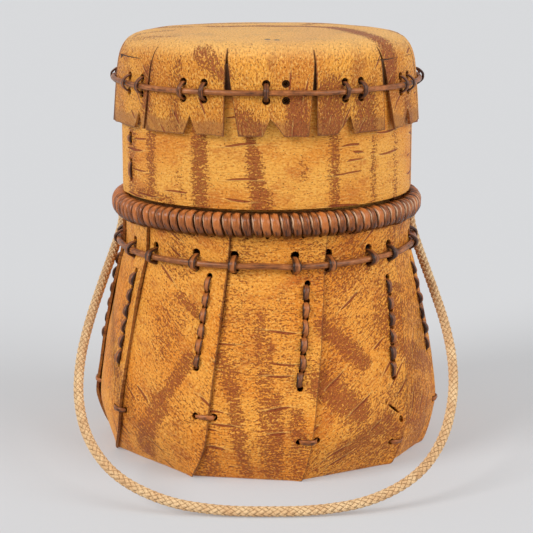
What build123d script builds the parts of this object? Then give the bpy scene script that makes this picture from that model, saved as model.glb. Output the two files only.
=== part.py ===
from build123d import *
import math
import os

# Lidded birch bark basket, in millimetres: +Z up, origin at the middle of the foot.
# An azimuth is in degrees from the front (-Y) and grows towards +X, the right as seen from the front.

# Body: one folded bark sheet whose gores lap over each other at leaning seams
bark = 1.6
foot_radius = 82.8
foot_lap = 0.5
belly_height = 24.0
belly_radius = 89.6
belly_lap = 1.6
waist_height = 62.0
waist_radius = 84.5
waist_lap = 1.5
neck_height = 106.0
neck_radius = 74.4
neck_lap = 1.3
mouth_height = 131.0
mouth_radius = 74.7
mouth_lap = 0.8
fold_heights = [8.0, 16.0]
first_corner = -68.0
seam_swing = [12.5, 9.0, 2.5, -1.0, 4.0, 8.0, 3.0, 7.0, 10.0]
seam_lean = [2.5, 4.5, 7.5, 7.5, 6.0, 5.0, 6.0, 5.0, 4.0]

# Split root: lacing in rows beside the seams, and one tack across the foot of each seam
root_width = 2.8
root_thickness = 0.8
row_crown = 1.5
row_share = 0.82
row_holes = 7
row_drops = [4.0, 7.0, 9.5, 7.0, 5.0, 8.0, 6.0, 6.5, 8.0]
row_pitches = [7.4, 8.3, 8.1, 7.8, 8.2, 8.0, 7.6, 8.1, 8.0]
hole_slack = 0.7
running_gap = 0.15
tack_heights = [28.0, 34.0, 22.5, 14.0, 25.0, 30.0, 20.0, 27.0, 31.0]
tack_left = 7.6
tack_right = 2.9
seat = 0.25

# Neck withy and its ties
neck_withy_drop = 14.2
neck_withy_radius = 1.65
neck_tie_left = [10.0, 13.0, 11.5, 16.0, 13.0, 12.0, 14.0, 12.5, 7.0]
neck_tie_right = 2.7
tie_width = 3.0
tie_thickness = 0.9
tie_hole_height = 2.5

# Rim: a flat withy hoop and the mouth's edge, bound over with split root
rim_drop = 8.0
rim_rise = 2.1
hoop_thickness = 3.0
binding_thickness = 1.25
binding_back = 1.6
binding_turns = 66
binding_lean = 10.0
binding_groove = 0.7

# Collar inside the mouth, which the lid slides over
collar_bark = 1.8
collar_depth = 17.2
collar_seam = 64.0
collar_lap_angle = 15.0
collar_edge_line = 0.4
collar_row_rise = 11.0
collar_row_pitch = 9.0
collar_stitches = 6

# Lid: a bark wall, and a bark disc whose rim is slit into swallow-tailed flaps
lid_clearance = 2.2
lid_bark = 1.8
lid_gap = 2.1
lid_height = 80.8
lid_corner = 10.0
lid_crown = 1.2
crown_radius = 24.0
flap_bark = 1.2
flap_length = 34.5
flap_flare = 1.2
flap_gap = 0.2
slit_tops = [-47.0, -15.0, 18.2, 48.0, 76.0, 110.0, 145.0, 178.0, 211.0, 245.0, 279.0]
slit_bottoms = [-49.0, -12.4, 16.4, 50.0, 78.0, 111.0, 143.0, 179.5, 212.0, 243.0, 280.0]
slit_widths = [1.0, 7.2, 4.0, 8.4, 4.0, 2.0, 6.0, 3.0, 5.0, 2.0, 3.0]
notch_angles = [-28.3, 1.6, 31.0, 64.7, 94.0, 128.0, 162.0, 195.0, 228.0, 262.0, -53.5]
notch_widths = [6.8, 9.3, 7.5, 6.0, 7.0, 8.0, 6.5, 7.5, 7.0, 6.0, 6.6]
notch_depth = 8.6
slit_top_width = 0.7
shoulder_reach = 3.4

# Lid withy, with two ties through each flap
lid_withy_rise = 56.8
lid_withy_radius = 1.4
lid_tie_angles = [-27.0, 3.4, 32.8, 62.6, 95.0, 128.5, 161.5, 195.0, 228.0, 262.0, -57.0]
lid_tie_spreads = [4.2, 3.5, 3.5, 3.1, 4.0, 3.6, 4.1, 3.7, 4.0, 3.8, 4.7]
missing_tie = 3
lid_tie_leg = 0.9
lid_hole_height = 2.8
lid_seam = -75.0
lid_row_angle = -64.3
lid_row_holes = [30.8, 27.0, 17.3, 8.8]

# Rope handle, through one hole in each side of the neck
rope_diameter = 5.0
rope_hole_slack = 0.6
hinge_back = 28.0
hinge_drop = 14.0
knot_radius = 5.2
rope_sides = 8
handle_reach = 195.6
handle_left = [
    (-84.6, 0.0), (-84.6, 18.0), (-88.4, 46.0), (-93.8, 82.0),
    (-94.2, 118.0), (-84.0, 153.0), (-60.0, 180.5), (-27.0, 194.0),
]
handle_right = [
    (84.6, 0.0), (84.4, 17.0), (89.4, 47.0), (93.2, 82.0),
    (92.4, 116.0), (82.6, 152.0), (62.0, 178.5), (30.0, 193.4),
]

facets = 36


def polar(azimuth, radius, height):
    """Point at an azimuth, a radius and a height."""
    turn = math.radians(azimuth)
    return Vector(radius * math.sin(turn), -radius * math.cos(turn), height)


def blend(a, b, share):
    """Point a share of the way from a to b."""
    return a + (b - a) * share


# Heights that follow the mouth
rim_bottom = mouth_height - rim_drop
rim_top = mouth_height + rim_rise
neck_withy_height = rim_bottom - neck_withy_drop
collar_bottom = mouth_height - collar_depth
hinge_height = mouth_height - hinge_drop
lid_bottom = rim_top + lid_gap
lid_withy_height = lid_bottom + lid_withy_rise

gores = len(seam_swing)
facet_drop = belly_radius * (1 - math.cos(math.pi / facets))
inner_seat = seat + facet_drop
gore_angle = 360.0 / gores
body_levels = [
    (0.0, foot_radius, foot_lap),
    (belly_height, belly_radius, belly_lap),
    (waist_height, waist_radius, waist_lap),
    (neck_height, neck_radius, neck_lap),
    (mouth_height, mouth_radius, mouth_lap),
]


def seam_azimuth(seam, level):
    """Azimuth of a seam at a level: it swings above the foot, then leans on up to the neck."""
    turns, k = divmod(seam, gores)
    corner = first_corner + gore_angle * k + 360.0 * turns
    if level == 0:
        return corner
    height = body_levels[level][0]
    rise = min(1.0, (height - belly_height) / (neck_height - belly_height))
    return corner + seam_swing[k] + seam_lean[k] * rise


def skin_at_level(gore, share, level, inside):
    """Point of a gore's outer or inner face at a level, a share of the way along the gore."""
    height, radius, lap = body_levels[level]
    left = seam_azimuth(gore, level)
    right = seam_azimuth(gore + 1, level)
    if inside:
        height = max(height, bark)
        low = high = radius - lap / 2 - bark
    else:
        low, high = radius - lap / 2, radius + lap / 2
    if level == 0:
        return blend(polar(left, low, height), polar(right, high, height), share)
    return polar(left + (right - left) * share, low + (high - low) * share, height)


def skin(gore, share, height, inside=False):
    """Point of a gore's outer or inner face at a height."""
    level = 0
    while level < len(body_levels) - 2 and height > body_levels[level + 1][0]:
        level += 1
    lower = skin_at_level(gore, share, level, inside)
    upper = skin_at_level(gore, share, level + 1, inside)
    return blend(lower, upper, (height - lower.Z) / (upper.Z - lower.Z))


def skin_normal(gore, share, height):
    """Outward direction of a gore's face."""
    along = skin(gore, share + 0.02, height) - skin(gore, share - 0.02, height)
    up = skin(gore, share, height + bark) - skin(gore, share, height - bark)
    return along.cross(up).normalized()


def gore_share(azimuth, height):
    """Gore, and share along it, that lie at an azimuth and a height."""
    level = 0
    while level < len(body_levels) - 2 and height > body_levels[level + 1][0]:
        level += 1
    rise = (height - body_levels[level][0]) / (body_levels[level + 1][0] - body_levels[level][0])

    def seam_here(seam):
        low = seam_azimuth(seam, level)
        return low + (seam_azimuth(seam, level + 1) - low) * rise

    gore = -gores
    while seam_here(gore + 1) <= azimuth:
        gore += 1
    return gore, (azimuth - seam_here(gore)) / (seam_here(gore + 1) - seam_here(gore))


def gore_ring(height, inside=False):
    """Points round the lapped gores at one height, on their outer or inner faces."""
    sides = facets // gores
    if inside:
        shares, height = range(sides), max(height, bark)
    else:
        shares = range(sides + 1)
    return [skin(gore, k / sides, height, inside) for gore in range(gores) for k in shares]


def flat_face(points):
    """Flat face on its corner points."""
    return Face(Wire.make_polygon(points, close=True))


def skinned(rings, closed=False):
    """Solid with flat facets stretched between rings of points, its two end rings capped or joined."""
    faces = [] if closed else [flat_face(rings[0]), flat_face(rings[-1])]
    for low, high in zip(rings, rings[1:] + (rings[:1] if closed else [])):
        for a, b, c, d in zip(low, low[1:] + low[:1], high, high[1:] + high[:1]):
            if abs((b - a).cross(c - a).normalized().dot(d - a)) < 1e-6:
                faces.append(flat_face([a, b, d, c]))
            elif (d - a).length < (c - b).length:
                faces += [flat_face([a, b, d]), flat_face([a, d, c])]
            else:
                faces += [flat_face([a, b, c]), flat_face([b, d, c])]
    return Solid(Shell(faces))


def round_points(radius, height):
    """Points round a circle at a height."""
    return [polar(360.0 * k / facets, radius, height) for k in range(facets)]


def prism(frame, outline, windows, width):
    """Flat outline with windows, drawn in a frame and given a width centred on it."""
    start = frame.offset(-width / 2)

    def wire(points):
        return Wire.make_polygon([start.from_local_coords(Vector(x, y, 0)) for x, y in points], close=True)

    face = Face(wire(outline), [wire(window) for window in windows])
    return Solid.extrude(face, start.z_dir * width)


def block(frame, centre, length, depth, width):
    """Box in a frame, for a pierced hole: length along X, depth along Y, width along Z."""
    place = Plane(frame.from_local_coords(Vector(*centre, 0)), x_dir=frame.x_dir, z_dir=frame.z_dir)
    return (place * Box(length, depth, width)).solid()


def cut(solid, tools):
    """Solid with the tools taken out of it."""
    return (Part([solid]) - tools).solid()


def faceted_ring(outline):
    """Many-sided ring whose section is a closed outline of radius and height."""
    return skinned([[polar(360.0 * k / facets, r, z) for r, z in outline] for k in range(facets)], closed=True)


def round_wall(outside, inside, bottom, top):
    """Upright many-sided wall between two radii."""
    return faceted_ring([(inside, bottom), (outside, bottom), (outside, top), (inside, top)])


def withy(radius, height, thickness):
    """Round withy bent into a ring, with six flats round its section."""
    ring = []
    for k in range(6):
        turn = math.radians(60.0 * k - 90.0)
        ring.append((radius + thickness * math.cos(turn), height + thickness * math.sin(turn)))
    return faceted_ring(ring)


# Ties, rows and tacks of split root
tie_reach = tie_thickness + inner_seat


def tie(frame, withy_out, withy_radius, inner, leg):
    """Loop of root round a withy and through two holes, one above it and one below."""
    inside = withy_radius + leg
    outside = inside + tie_thickness
    top = withy_out + withy_radius + seat
    outline = [
        (-outside, inner - tie_reach),
        (outside, inner - tie_reach),
        (outside, top),
        (outside - tie_thickness, top + tie_thickness),
        (tie_thickness - outside, top + tie_thickness),
        (-outside, top),
    ]
    window = [
        (-inside, inner - inner_seat),
        (inside, inner - inner_seat),
        (inside, top),
        (-inside, top),
    ]
    return prism(frame, outline, [window], tie_width)


def tie_holes(frame, inner, withy_radius, leg, hole_height):
    """The two holes that a tie passes through."""
    middle = withy_radius + leg + hole_height / 2 - seat
    depth = 2 * abs(inner) + 6 * bark
    width = tie_width + hole_slack
    return [block(frame, (side * middle, inner / 2), hole_height, depth, width) for side in (-1, 1)]


def row_frame(points, normal):
    """Frame of a row: X along its points, Y outward."""
    along = (points[-1] - points[0]).normalized()
    return Plane(points[0], x_dir=along, z_dir=along.cross(normal).normalized())


def lacing(frame, outer, inner, crown):
    """Row of stitches with a strand inside and a strand outside, joined through every hole."""
    leg = root_thickness * 0.75
    over = [frame.to_local_coords(p) for p in outer]
    under = [frame.to_local_coords(p) for p in inner]
    outline = [(under[0].X - leg, under[0].Y - inner_seat - root_thickness)]
    outline.append((over[0].X - leg, over[0].Y + seat))
    windows = []
    for a, b, c, d in zip(over, over[1:], under, under[1:]):
        outline.append((a.X + leg / 3, a.Y + seat))
        outline.append((a.X + root_width * 0.6, a.Y + crown))
        outline.append((b.X - root_width * 0.6, b.Y + crown))
        windows.append([
            (a.X + leg, a.Y + seat),
            (b.X - leg, b.Y + seat),
            (b.X - leg, d.Y - inner_seat),
            (a.X + leg, c.Y - inner_seat),
        ])
    outline.append((over[-1].X + leg, over[-1].Y + seat))
    for point in reversed(under):
        end = leg if point is under[-1] else 0.0
        if point is not under[0]:
            outline.append((point.X + end, point.Y - inner_seat - root_thickness))
    return prism(frame, outline, windows, root_width)


def row_openings(frame, outer, inner):
    """Holes of a row of stitches, one at each point."""
    length = root_thickness * 1.5 + hole_slack
    cutters = []
    for p, q in zip(outer, inner):
        a, b = frame.to_local_coords(p), frame.to_local_coords(q)
        depth = a.Y - b.Y + 2 * bark
        cutters.append(block(frame, (a.X, (a.Y + b.Y) / 2), length, depth, root_width + hole_slack))
    return cutters


body_cutters = []
seam_rows = []
for gore in range(gores):
    heights = [neck_height - row_drops[gore] - row_pitches[gore] * i for i in range(row_holes)]
    outer = [skin(gore, row_share, z) for z in heights]
    inner = [skin(gore, row_share, z, inside=True) for z in heights]
    frame = row_frame(outer, skin_normal(gore, row_share, heights[row_holes // 2]))
    seam_rows.append(lacing(frame, outer, inner, row_crown))
    body_cutters += row_openings(frame, outer, inner)

tacks = []
for seam in range(gores):
    height = tack_heights[seam]
    span = math.radians(gore_angle) * belly_radius
    ends = [(seam - 1, 1.0 - tack_left / span), (seam, tack_right / span)]
    outer = [skin(gore, share, height) for gore, share in ends]
    inner = [skin(gore, share, height, inside=True) for gore, share in ends]
    normal = skin_normal(seam - 1, ends[0][1], height) + skin_normal(seam, ends[1][1], height)
    frame = row_frame(outer, normal.normalized())
    ridge = max(
        frame.to_local_coords(skin(seam - 1, 1.0, height + side * root_width / 2)).Y for side in (-1, 0, 1)
    )
    start, end = (frame.to_local_coords(p) for p in outer)
    low = min(frame.to_local_coords(p).Y for p in inner) - inner_seat
    leg = root_thickness / 2
    top = max(ridge, start.Y, end.Y) + seat
    tacks.append(prism(
        frame,
        [
            (-leg, low - root_thickness),
            (end.X + leg, low - root_thickness),
            (end.X + leg, end.Y + seat),
            (end.X - leg, top + root_thickness),
            (leg, top + root_thickness),
            (-leg, start.Y + seat),
        ],
        [[(leg, low), (end.X - leg, low), (end.X - leg, top), (leg, top)]],
        root_width,
    ))
    body_cutters += row_openings(frame, outer, inner)

neck_outer = max(
    math.hypot(skin(g, 1.0, neck_withy_height).X, skin(g, 1.0, neck_withy_height).Y) for g in range(gores)
)
neck_withy_centre = neck_outer + seat + neck_withy_radius
neck_ties = []
for seam in range(gores):
    seam_angle = seam_azimuth(seam, 3)
    for azimuth in (seam_angle - neck_tie_left[seam], seam_angle + neck_tie_right):
        gore, share = gore_share(azimuth, neck_withy_height)
        point = skin(gore, share, neck_withy_height)
        lining = skin(gore, share, neck_withy_height, inside=True)
        outward = polar(azimuth, 1.0, 0.0)
        frame = Plane(point, x_dir=(0, 0, 1), z_dir=Vector(0, 0, 1).cross(outward))
        withy_out = neck_withy_centre - math.hypot(point.X, point.Y)
        inner_face = frame.to_local_coords(lining).Y
        neck_ties.append(tie(frame, withy_out, neck_withy_radius, inner_face, seat))
        body_cutters += tie_holes(frame, inner_face, neck_withy_radius, seat, tie_hole_height)

# Bark body with its pierced holes
rope_hole = Pos(0, hinge_back, hinge_height) * Rot(0, 90, 0) * Cylinder(
    rope_diameter / 2 + rope_hole_slack / 2, 2.2 * mouth_radius
)
ring_heights = sorted([*fold_heights, *(height for height, _, _ in body_levels)])
body = cut(
    skinned([gore_ring(height) for height in ring_heights]),
    [skinned([gore_ring(height, inside=True) for height in ring_heights])],
)
body = cut(body, body_cutters + [rope_hole.solid()])

# Collar: a rolled sheet with a lap inside, laced above the rim
round_in = math.cos(math.pi / facets)
mouth_outside = mouth_radius + mouth_lap / 2
mouth_inside = (mouth_radius - mouth_lap / 2 - bark) * round_in
leg_outside = mouth_inside - running_gap
leg_inside = leg_outside - root_thickness
collar_outside = leg_inside - running_gap
collar_inside = collar_outside - collar_bark
lid_radius = collar_outside + lid_clearance + lid_bark
wall_inside = lid_radius - lid_bark

lid_top = lid_bottom + lid_height
flap_top_radius = lid_radius + flap_gap + flap_bark
corner_radius = flap_top_radius - lid_corner
corner_height = lid_top - lid_crown - lid_corner


def corner(radius, degrees):
    """Point of the lid's rounded corner, from 0 at its side to 90 at its top."""
    turn = math.radians(degrees)
    return corner_radius + radius * math.cos(turn), corner_height + radius * math.sin(turn)


def ceiling(radius):
    """Height of the underside of the lid's top at a radius."""
    points = [corner(lid_corner - flap_bark, 30.0 * k) for k in range(4)]
    for (r0, z0), (r1, z1) in zip(points, points[1:]):
        if r1 <= radius <= r0:
            return z0 + (z1 - z0) * (r0 - radius) / (r0 - r1)
    return points[-1][1]


def upright_frame(azimuth, radius, height):
    """Frame on a round wall: X up, Y outward."""
    outward = polar(azimuth, 1.0, 0.0)
    return Plane(polar(azimuth, radius, height), x_dir=(0, 0, 1), z_dir=Vector(0, 0, 1).cross(outward))


def running_stitch(frame, legs, outer, inner):
    """Strand that runs outside and inside by turns, through a hole at each leg."""
    half = root_thickness / 2

    def bar(x0, x1, y0, y1):
        return prism(frame, [(x0, y0), (x1, y0), (x1, y1), (x0, y1)], [], root_width)

    bars = [bar(x - half, x + half, inner - root_thickness, outer + root_thickness) for x in legs]
    for k, (a, b) in enumerate(zip(legs, legs[1:])):
        level = outer if k % 2 == 0 else inner - root_thickness
        bars.append(bar(a - half, b + half, level, level + root_thickness))
    return (Part(bars[:1]) + bars[1:]).solid()


collar_top = ceiling(collar_outside) - seat
lap_depth = collar_bark - seat
lap_steps = [collar_seam + collar_lap_angle * k / 3 for k in range(4)]
lap_outline = [polar(a, collar_inside + seat, collar_bottom) for a in lap_steps]
lap_outline += [polar(a, collar_inside - lap_depth, collar_bottom) for a in reversed(lap_steps)]
lap = Solid.extrude(flat_face(lap_outline), Vector(0, 0, collar_top - collar_bottom))
collar_frame = upright_frame(
    collar_seam + collar_lap_angle / 2, collar_outside, mouth_height + collar_row_rise
)
collar_legs = [collar_row_pitch * k for k in range(collar_stitches)]
collar_row = running_stitch(collar_frame, collar_legs, running_gap, -collar_bark - lap_depth - seat)
collar_cutters = [
    block(collar_frame, (x, -collar_bark), root_thickness + hole_slack, 6 * collar_bark, root_width + hole_slack)
    for x in collar_legs
]
collar_cutters.append(block(
    upright_frame(collar_seam, collar_outside, (collar_bottom + collar_top) / 2),
    (0, 0), 2 * lid_height, collar_bark / 2, collar_edge_line,
))
collar = (Part([round_wall(collar_outside, collar_inside, collar_bottom, collar_top)]) + lap).solid()
collar = cut(collar, [*collar_cutters, rope_hole.solid()])

# Rim hoop, and the split root bound over it and the mouth's edge
hoop_inside = (mouth_outside + running_gap) / round_in
hoop_outside = hoop_inside + hoop_thickness
hoop_low = rim_bottom + binding_thickness + seat
hoop_high = mouth_height
rim_radius = hoop_outside + seat + binding_back
hoop = round_wall(hoop_outside, hoop_inside, hoop_low, hoop_high)


def binding_section(azimuth, groove):
    """Section of the binding, open below for the mouth: a groove between two turns is let in a little."""
    middle = (rim_bottom + rim_top) / 2
    slope = math.tan(math.radians(binding_lean))
    round_over = (rim_top - rim_bottom) / 5
    section = [
        (hoop_inside, rim_bottom + groove),
        (rim_radius - round_over / 2, rim_bottom + groove / 2),
        (rim_radius - groove, rim_bottom + round_over),
        (rim_radius - groove, rim_top - round_over),
        (rim_radius - round_over - groove, rim_top - groove / 2),
        (leg_inside, rim_top - groove / 2),
        (leg_inside, rim_bottom + round_over),
        (leg_outside, rim_bottom + round_over),
        (leg_outside, hoop_high + seat),
        (hoop_outside + seat, hoop_high + seat),
        (hoop_outside + seat, hoop_low - seat),
        (hoop_inside, hoop_low - seat),
    ]
    side = polar(azimuth + 90.0, 1.0, 0.0)
    return [polar(azimuth, r, z) - side * ((z - middle) * slope) for r, z in section]


binding = skinned(
    [binding_section(180.0 * k / binding_turns, binding_groove * (k % 2)) for k in range(2 * binding_turns)],
    closed=True,
)

# Neck withy
neck_withy = withy(neck_withy_centre, neck_withy_height, neck_withy_radius)

# Lid wall, laced at its own seam
wall_top = ceiling(lid_radius) - seat
lid_frame = upright_frame(lid_row_angle, lid_radius, lid_bottom)
lid_legs = lid_row_holes
lid_row = running_stitch(lid_frame, lid_legs, seat / 2, -lid_bark - inner_seat)
lid_cutters = [
    block(lid_frame, (x, -lid_bark / 2), root_thickness + hole_slack, 4 * lid_bark, root_width + hole_slack)
    for x in lid_legs
]
lid_cutters.append(block(
    upright_frame(lid_seam, lid_radius, (lid_bottom + wall_top) / 2),
    (0, 0), 2 * lid_height, lid_bark, collar_edge_line,
))

# Lid cap, before its rim is slit: a sheet turned down over a round edge into a flared skirt
flap_bottom = corner_height - flap_length
flare_radius = flap_top_radius + flap_flare
turned_edge = [corner(lid_corner, 30.0 * k) for k in range(4)]
turned_inside = [corner(lid_corner - flap_bark, 30.0 * k) for k in range(4)]
cap_outside = [(flare_radius, flap_bottom), *turned_edge, (crown_radius, lid_top)]
cap_inside = [
    (flare_radius - flap_bark, flap_bottom - seat), *turned_inside, (crown_radius, lid_top - flap_bark)
]
cap = cut(
    skinned([round_points(r, z) for r, z in cap_outside]),
    [skinned([round_points(r, z) for r, z in cap_inside])],
)


def radial_cutter(azimuth, outline):
    """Outline of tangential and vertical places at the lid's side, cut in from outside."""
    outward = polar(azimuth, 1.0, 0.0)
    frame = Plane(polar(azimuth, corner_radius, 0.0), x_dir=polar(azimuth + 90.0, 1.0, 0.0), z_dir=outward)
    face = flat_face([frame.from_local_coords(Vector(x, y, 0)) for x, y in outline])
    return Solid.extrude(face, outward * (2 * lid_corner))


cap_cutters = []
slit_high = lid_top - shoulder_reach
for high, low, width in zip(slit_tops, slit_bottoms, slit_widths):
    drift = math.radians(low - high) * lid_radius
    cap_cutters.append(radial_cutter(high, [
        (-slit_top_width / 2, slit_high),
        (slit_top_width / 2, slit_high),
        (drift + width / 2, flap_bottom - flap_bark),
        (drift - width / 2, flap_bottom - flap_bark),
    ]))
for azimuth, width in zip(notch_angles, notch_widths):
    cap_cutters.append(radial_cutter(azimuth, [
        (0.0, flap_bottom + notch_depth),
        (width / 2, flap_bottom - flap_bark),
        (-width / 2, flap_bottom - flap_bark),
    ]))

# Lid withy and its ties
drop = (corner_height - lid_withy_height) / flap_length
flap_face = flap_top_radius + flap_flare * drop
lid_withy_centre = flap_face + seat + lid_withy_radius
lid_withy = withy(lid_withy_centre, lid_withy_height, lid_withy_radius)
lid_ties = []
tie_azimuths = [
    middle + side * spread for middle, spread in zip(lid_tie_angles, lid_tie_spreads) for side in (-1, 1)
]
for k, azimuth in enumerate(tie_azimuths):
    frame = upright_frame(azimuth, flap_face, lid_withy_height)
    inner_face = wall_inside - flap_face
    if k != missing_tie:
        lid_ties.append(tie(frame, seat + lid_withy_radius, lid_withy_radius, inner_face, lid_tie_leg))
    pair = tie_holes(frame, inner_face, lid_withy_radius, lid_tie_leg, lid_hole_height)
    cap_cutters += pair
    lid_cutters += pair
cap = cut(cap, cap_cutters)
lid_wall = cut(round_wall(lid_radius, wall_inside, lid_bottom, wall_top), lid_cutters)

# Rope handle: a planar loop through the neck's two holes, lying on the floor in front
drop_angle = math.asin((hinge_height - rope_diameter / 2) / handle_reach)
handle_plane = Plane(
    (0, hinge_back, hinge_height),
    x_dir=(1, 0, 0),
    z_dir=(0, math.sin(drop_angle), -math.cos(drop_angle)),
)
knot_centre = math.sqrt((collar_inside - knot_radius - seat) ** 2 - hinge_back ** 2)
knot_flat = knot_centre + math.sqrt(knot_radius ** 2 - (rope_diameter / 2) ** 2)
route = [
    (-knot_flat, 0.0), *handle_left, (0.0, handle_reach), *reversed(handle_right), (knot_flat, 0.0),
]
flat_route = [Vector(x, reach, 0) for x, reach in route]
radii = []
for a, b, c in zip(flat_route, flat_route[1:], flat_route[2:]):
    turn = (b - a).get_angle(c - b)
    radii.append(0.45 * min((b - a).length, (c - b).length) / math.tan(math.radians(turn / 2)))
print("rope bend radii, mm:", [round(r, 1) for r in radii])
path = handle_plane * FilletPolyline(*flat_route, radius=radii)
end_plane = Plane(path @ 0, z_dir=path % 0)
rope = sweep(end_plane * RegularPolygon(rope_diameter / 2, rope_sides), path=path).solid()
rope_area = RegularPolygon(rope_diameter / 2, rope_sides).area
print("rope length", round(path.length, 1), "volume over section times length",
      round(rope.volume / (rope_area * path.length), 4))


def stopper_knot(side):
    """Knot in the rope's end: a many-sided ball, flat where the rope leaves it."""
    reach = math.degrees(math.acos((knot_flat - knot_centre) / knot_radius))
    rings = []
    for k in range(6):
        turn = math.radians(reach + (172.0 - reach) * k / 5)
        middle = Plane(
            (side * (knot_centre + knot_radius * math.cos(turn)), hinge_back, hinge_height),
            z_dir=(side, 0, 0),
        )
        rings.append([
            middle.from_local_coords(
                Vector(knot_radius * math.sin(turn), 0, 0).rotate(Axis.Z, 45.0 * corner_index)
            )
            for corner_index in range(8)
        ])
    return skinned(rings)


nodes = {
    "folded_bark_body": [body],
    "inner_collar": [collar],
    "collar_seam_lacing": [collar_row],
    "rim_hoop": [hoop],
    "rim_binding": [binding],
    "neck_withy": [neck_withy],
    "neck_withy_ties": neck_ties,
    "foot_tacks": tacks,
    "handle_rope": [rope],
    "stopper_knot_left": [stopper_knot(-1)],
    "stopper_knot_right": [stopper_knot(1)],
    "lid_wall": [lid_wall],
    "lid_seam_lacing": [lid_row],
    "lid_cap": [cap],
    "lid_withy": [lid_withy],
    "lid_withy_ties": lid_ties,
}
for k, row in enumerate(seam_rows):
    nodes[f"seam_lacing_{k + 1}"] = [row]

os.makedirs("parts", exist_ok=True)
for name, solids in nodes.items():
    export_step(solids[0] if len(solids) == 1 else Compound(solids), f"parts/{name}.step")
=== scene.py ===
import math
import random

import bmesh
import bpy
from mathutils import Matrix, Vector, noise


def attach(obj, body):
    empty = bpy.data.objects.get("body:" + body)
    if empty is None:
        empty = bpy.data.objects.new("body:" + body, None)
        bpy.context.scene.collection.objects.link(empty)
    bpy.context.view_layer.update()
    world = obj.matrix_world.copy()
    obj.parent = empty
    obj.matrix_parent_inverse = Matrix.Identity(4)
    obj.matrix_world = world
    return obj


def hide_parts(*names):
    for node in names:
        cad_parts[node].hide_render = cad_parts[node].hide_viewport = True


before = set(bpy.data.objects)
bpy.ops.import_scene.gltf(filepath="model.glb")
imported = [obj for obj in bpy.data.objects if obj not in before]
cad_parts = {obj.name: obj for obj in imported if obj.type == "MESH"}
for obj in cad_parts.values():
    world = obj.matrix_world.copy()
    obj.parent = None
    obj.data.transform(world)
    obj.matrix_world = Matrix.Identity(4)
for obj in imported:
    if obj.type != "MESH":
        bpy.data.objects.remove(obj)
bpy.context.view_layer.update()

# Birch bark basket with a lid. Lengths are in millimetres and angles in degrees;
# an azimuth is counted from the front towards the right-hand side.
scene = bpy.context.scene
mm = 0.001


def outwardAt(azimuth):
    turn = math.radians(azimuth)
    return Vector((math.sin(turn), -math.cos(turn), 0.0))


def place(azimuth, radius, height):
    turn = math.radians(azimuth)
    return Vector((radius * math.sin(turn), -radius * math.cos(turn), height)) * mm


def azimuthOf(p):
    return math.degrees(math.atan2(p.x, -p.y))


def folded(angle):  # the same direction, between -180 and 180
    return (angle + 180.0) % 360.0 - 180.0


def ease(t):
    t = min(1.0, max(0.0, t))
    return t * t * (3.0 - 2.0 * t)


def softLine(points, x):  # smooth line through (x, y) pairs
    if x <= points[0][0]:
        return points[0][1]
    for i, (a, b) in enumerate(zip(points, points[1:])):
        if x <= b[0]:
            before, after = points[max(i - 1, 0)], points[min(i + 2, len(points) - 1)]
            reach = b[0] - a[0]
            slopeA = (b[1] - before[1]) / (b[0] - before[0]) * reach
            slopeB = (after[1] - a[1]) / (after[0] - a[0]) * reach
            t = (x - a[0]) / reach
            return (a[1] * (2 * t**3 - 3 * t**2 + 1) + slopeA * (t**3 - 2 * t**2 + t)
                    + b[1] * (3 * t**2 - 2 * t**3) + slopeB * (t**3 - t**2))
    return points[-1][1]


def ripple(x, y, seed, size):  # gentle unevenness of hand-worked bark, -1 to 1
    return noise.noise(Vector((x / size, y / size, seed * 7.31)))


def newObject(name, vertices, faces=(), edges=()):
    mesh = bpy.data.meshes.new(name)
    mesh.from_pydata(vertices, edges, faces)
    mesh.update()
    obj = bpy.data.objects.new(name, mesh)
    scene.collection.objects.link(obj)
    return obj


def bakeModifiers(obj):  # the modifiers' result becomes the plain mesh
    graph = bpy.context.evaluated_depsgraph_get()
    mesh = bpy.data.meshes.new_from_object(
        obj.evaluated_get(graph), preserve_all_data_layers=True, depsgraph=graph)
    obj.modifiers.clear()
    obj.data = mesh


def thicken(obj, thickness):  # gives a sheet its wall, inwards
    wall = obj.modifiers.new("thickness", "SOLIDIFY")
    wall.thickness = thickness * mm
    wall.offset = -1.0
    bakeModifiers(obj)


def joinObjects(name, objects):
    work = bmesh.new()
    for obj in objects:
        work.from_mesh(obj.data)
        bpy.data.objects.remove(obj, do_unlink=True)
    joined = bpy.data.meshes.new(name)
    work.to_mesh(joined)
    work.free()
    result = bpy.data.objects.new(name, joined)
    scene.collection.objects.link(result)
    return result


def wear(obj, finish):
    obj.data.materials.clear()
    obj.data.materials.append(finish)


def finishSheet(obj, finish, sharpAbove=40.0):
    obj.data.shade_smooth()
    obj.data.set_sharp_from_angle(angle=math.radians(sharpAbove))
    wear(obj, finish)


# Camera at the photograph's angle
cameraSetup = {
    "lens": 116.26, "sensor": 36.0, "back": 0.89064, "height": 0.28384, "tilt": 77.7915, "clip": 30.0,
}
camera = bpy.data.objects.new("camera", bpy.data.cameras.new("camera"))
camera.data.lens = cameraSetup["lens"]
camera.data.sensor_width = cameraSetup["sensor"]
camera.data.clip_end = cameraSetup["clip"]
camera.location = (0.0, -cameraSetup["back"], cameraSetup["height"])
camera.rotation_euler = (math.radians(cameraSetup["tilt"]), 0.0, 0.0)
scene.collection.objects.link(camera)
scene.camera = camera
scene.view_settings.view_transform = "Standard"


# Paint and node helpers
def ink(red, green, blue):  # a colour as it looks on screen, 0 to 255
    return tuple(((c / 255 + 0.055) / 1.055) ** 2.4 for c in (red, green, blue)) + (1.0,)


def feed(tree, value, socket):
    if isinstance(value, bpy.types.NodeSocket):
        tree.links.new(value, socket)
    else:
        socket.default_value = value


def addNode(tree, kind, settings=None, **inputs):  # a space in an input's name is written as _
    node = tree.nodes.new(kind)
    for key, value in (settings or {}).items():
        setattr(node, key, value)
    for label, value in inputs.items():
        feed(tree, value, node.inputs[label.replace("_", " ")])
    return node


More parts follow.
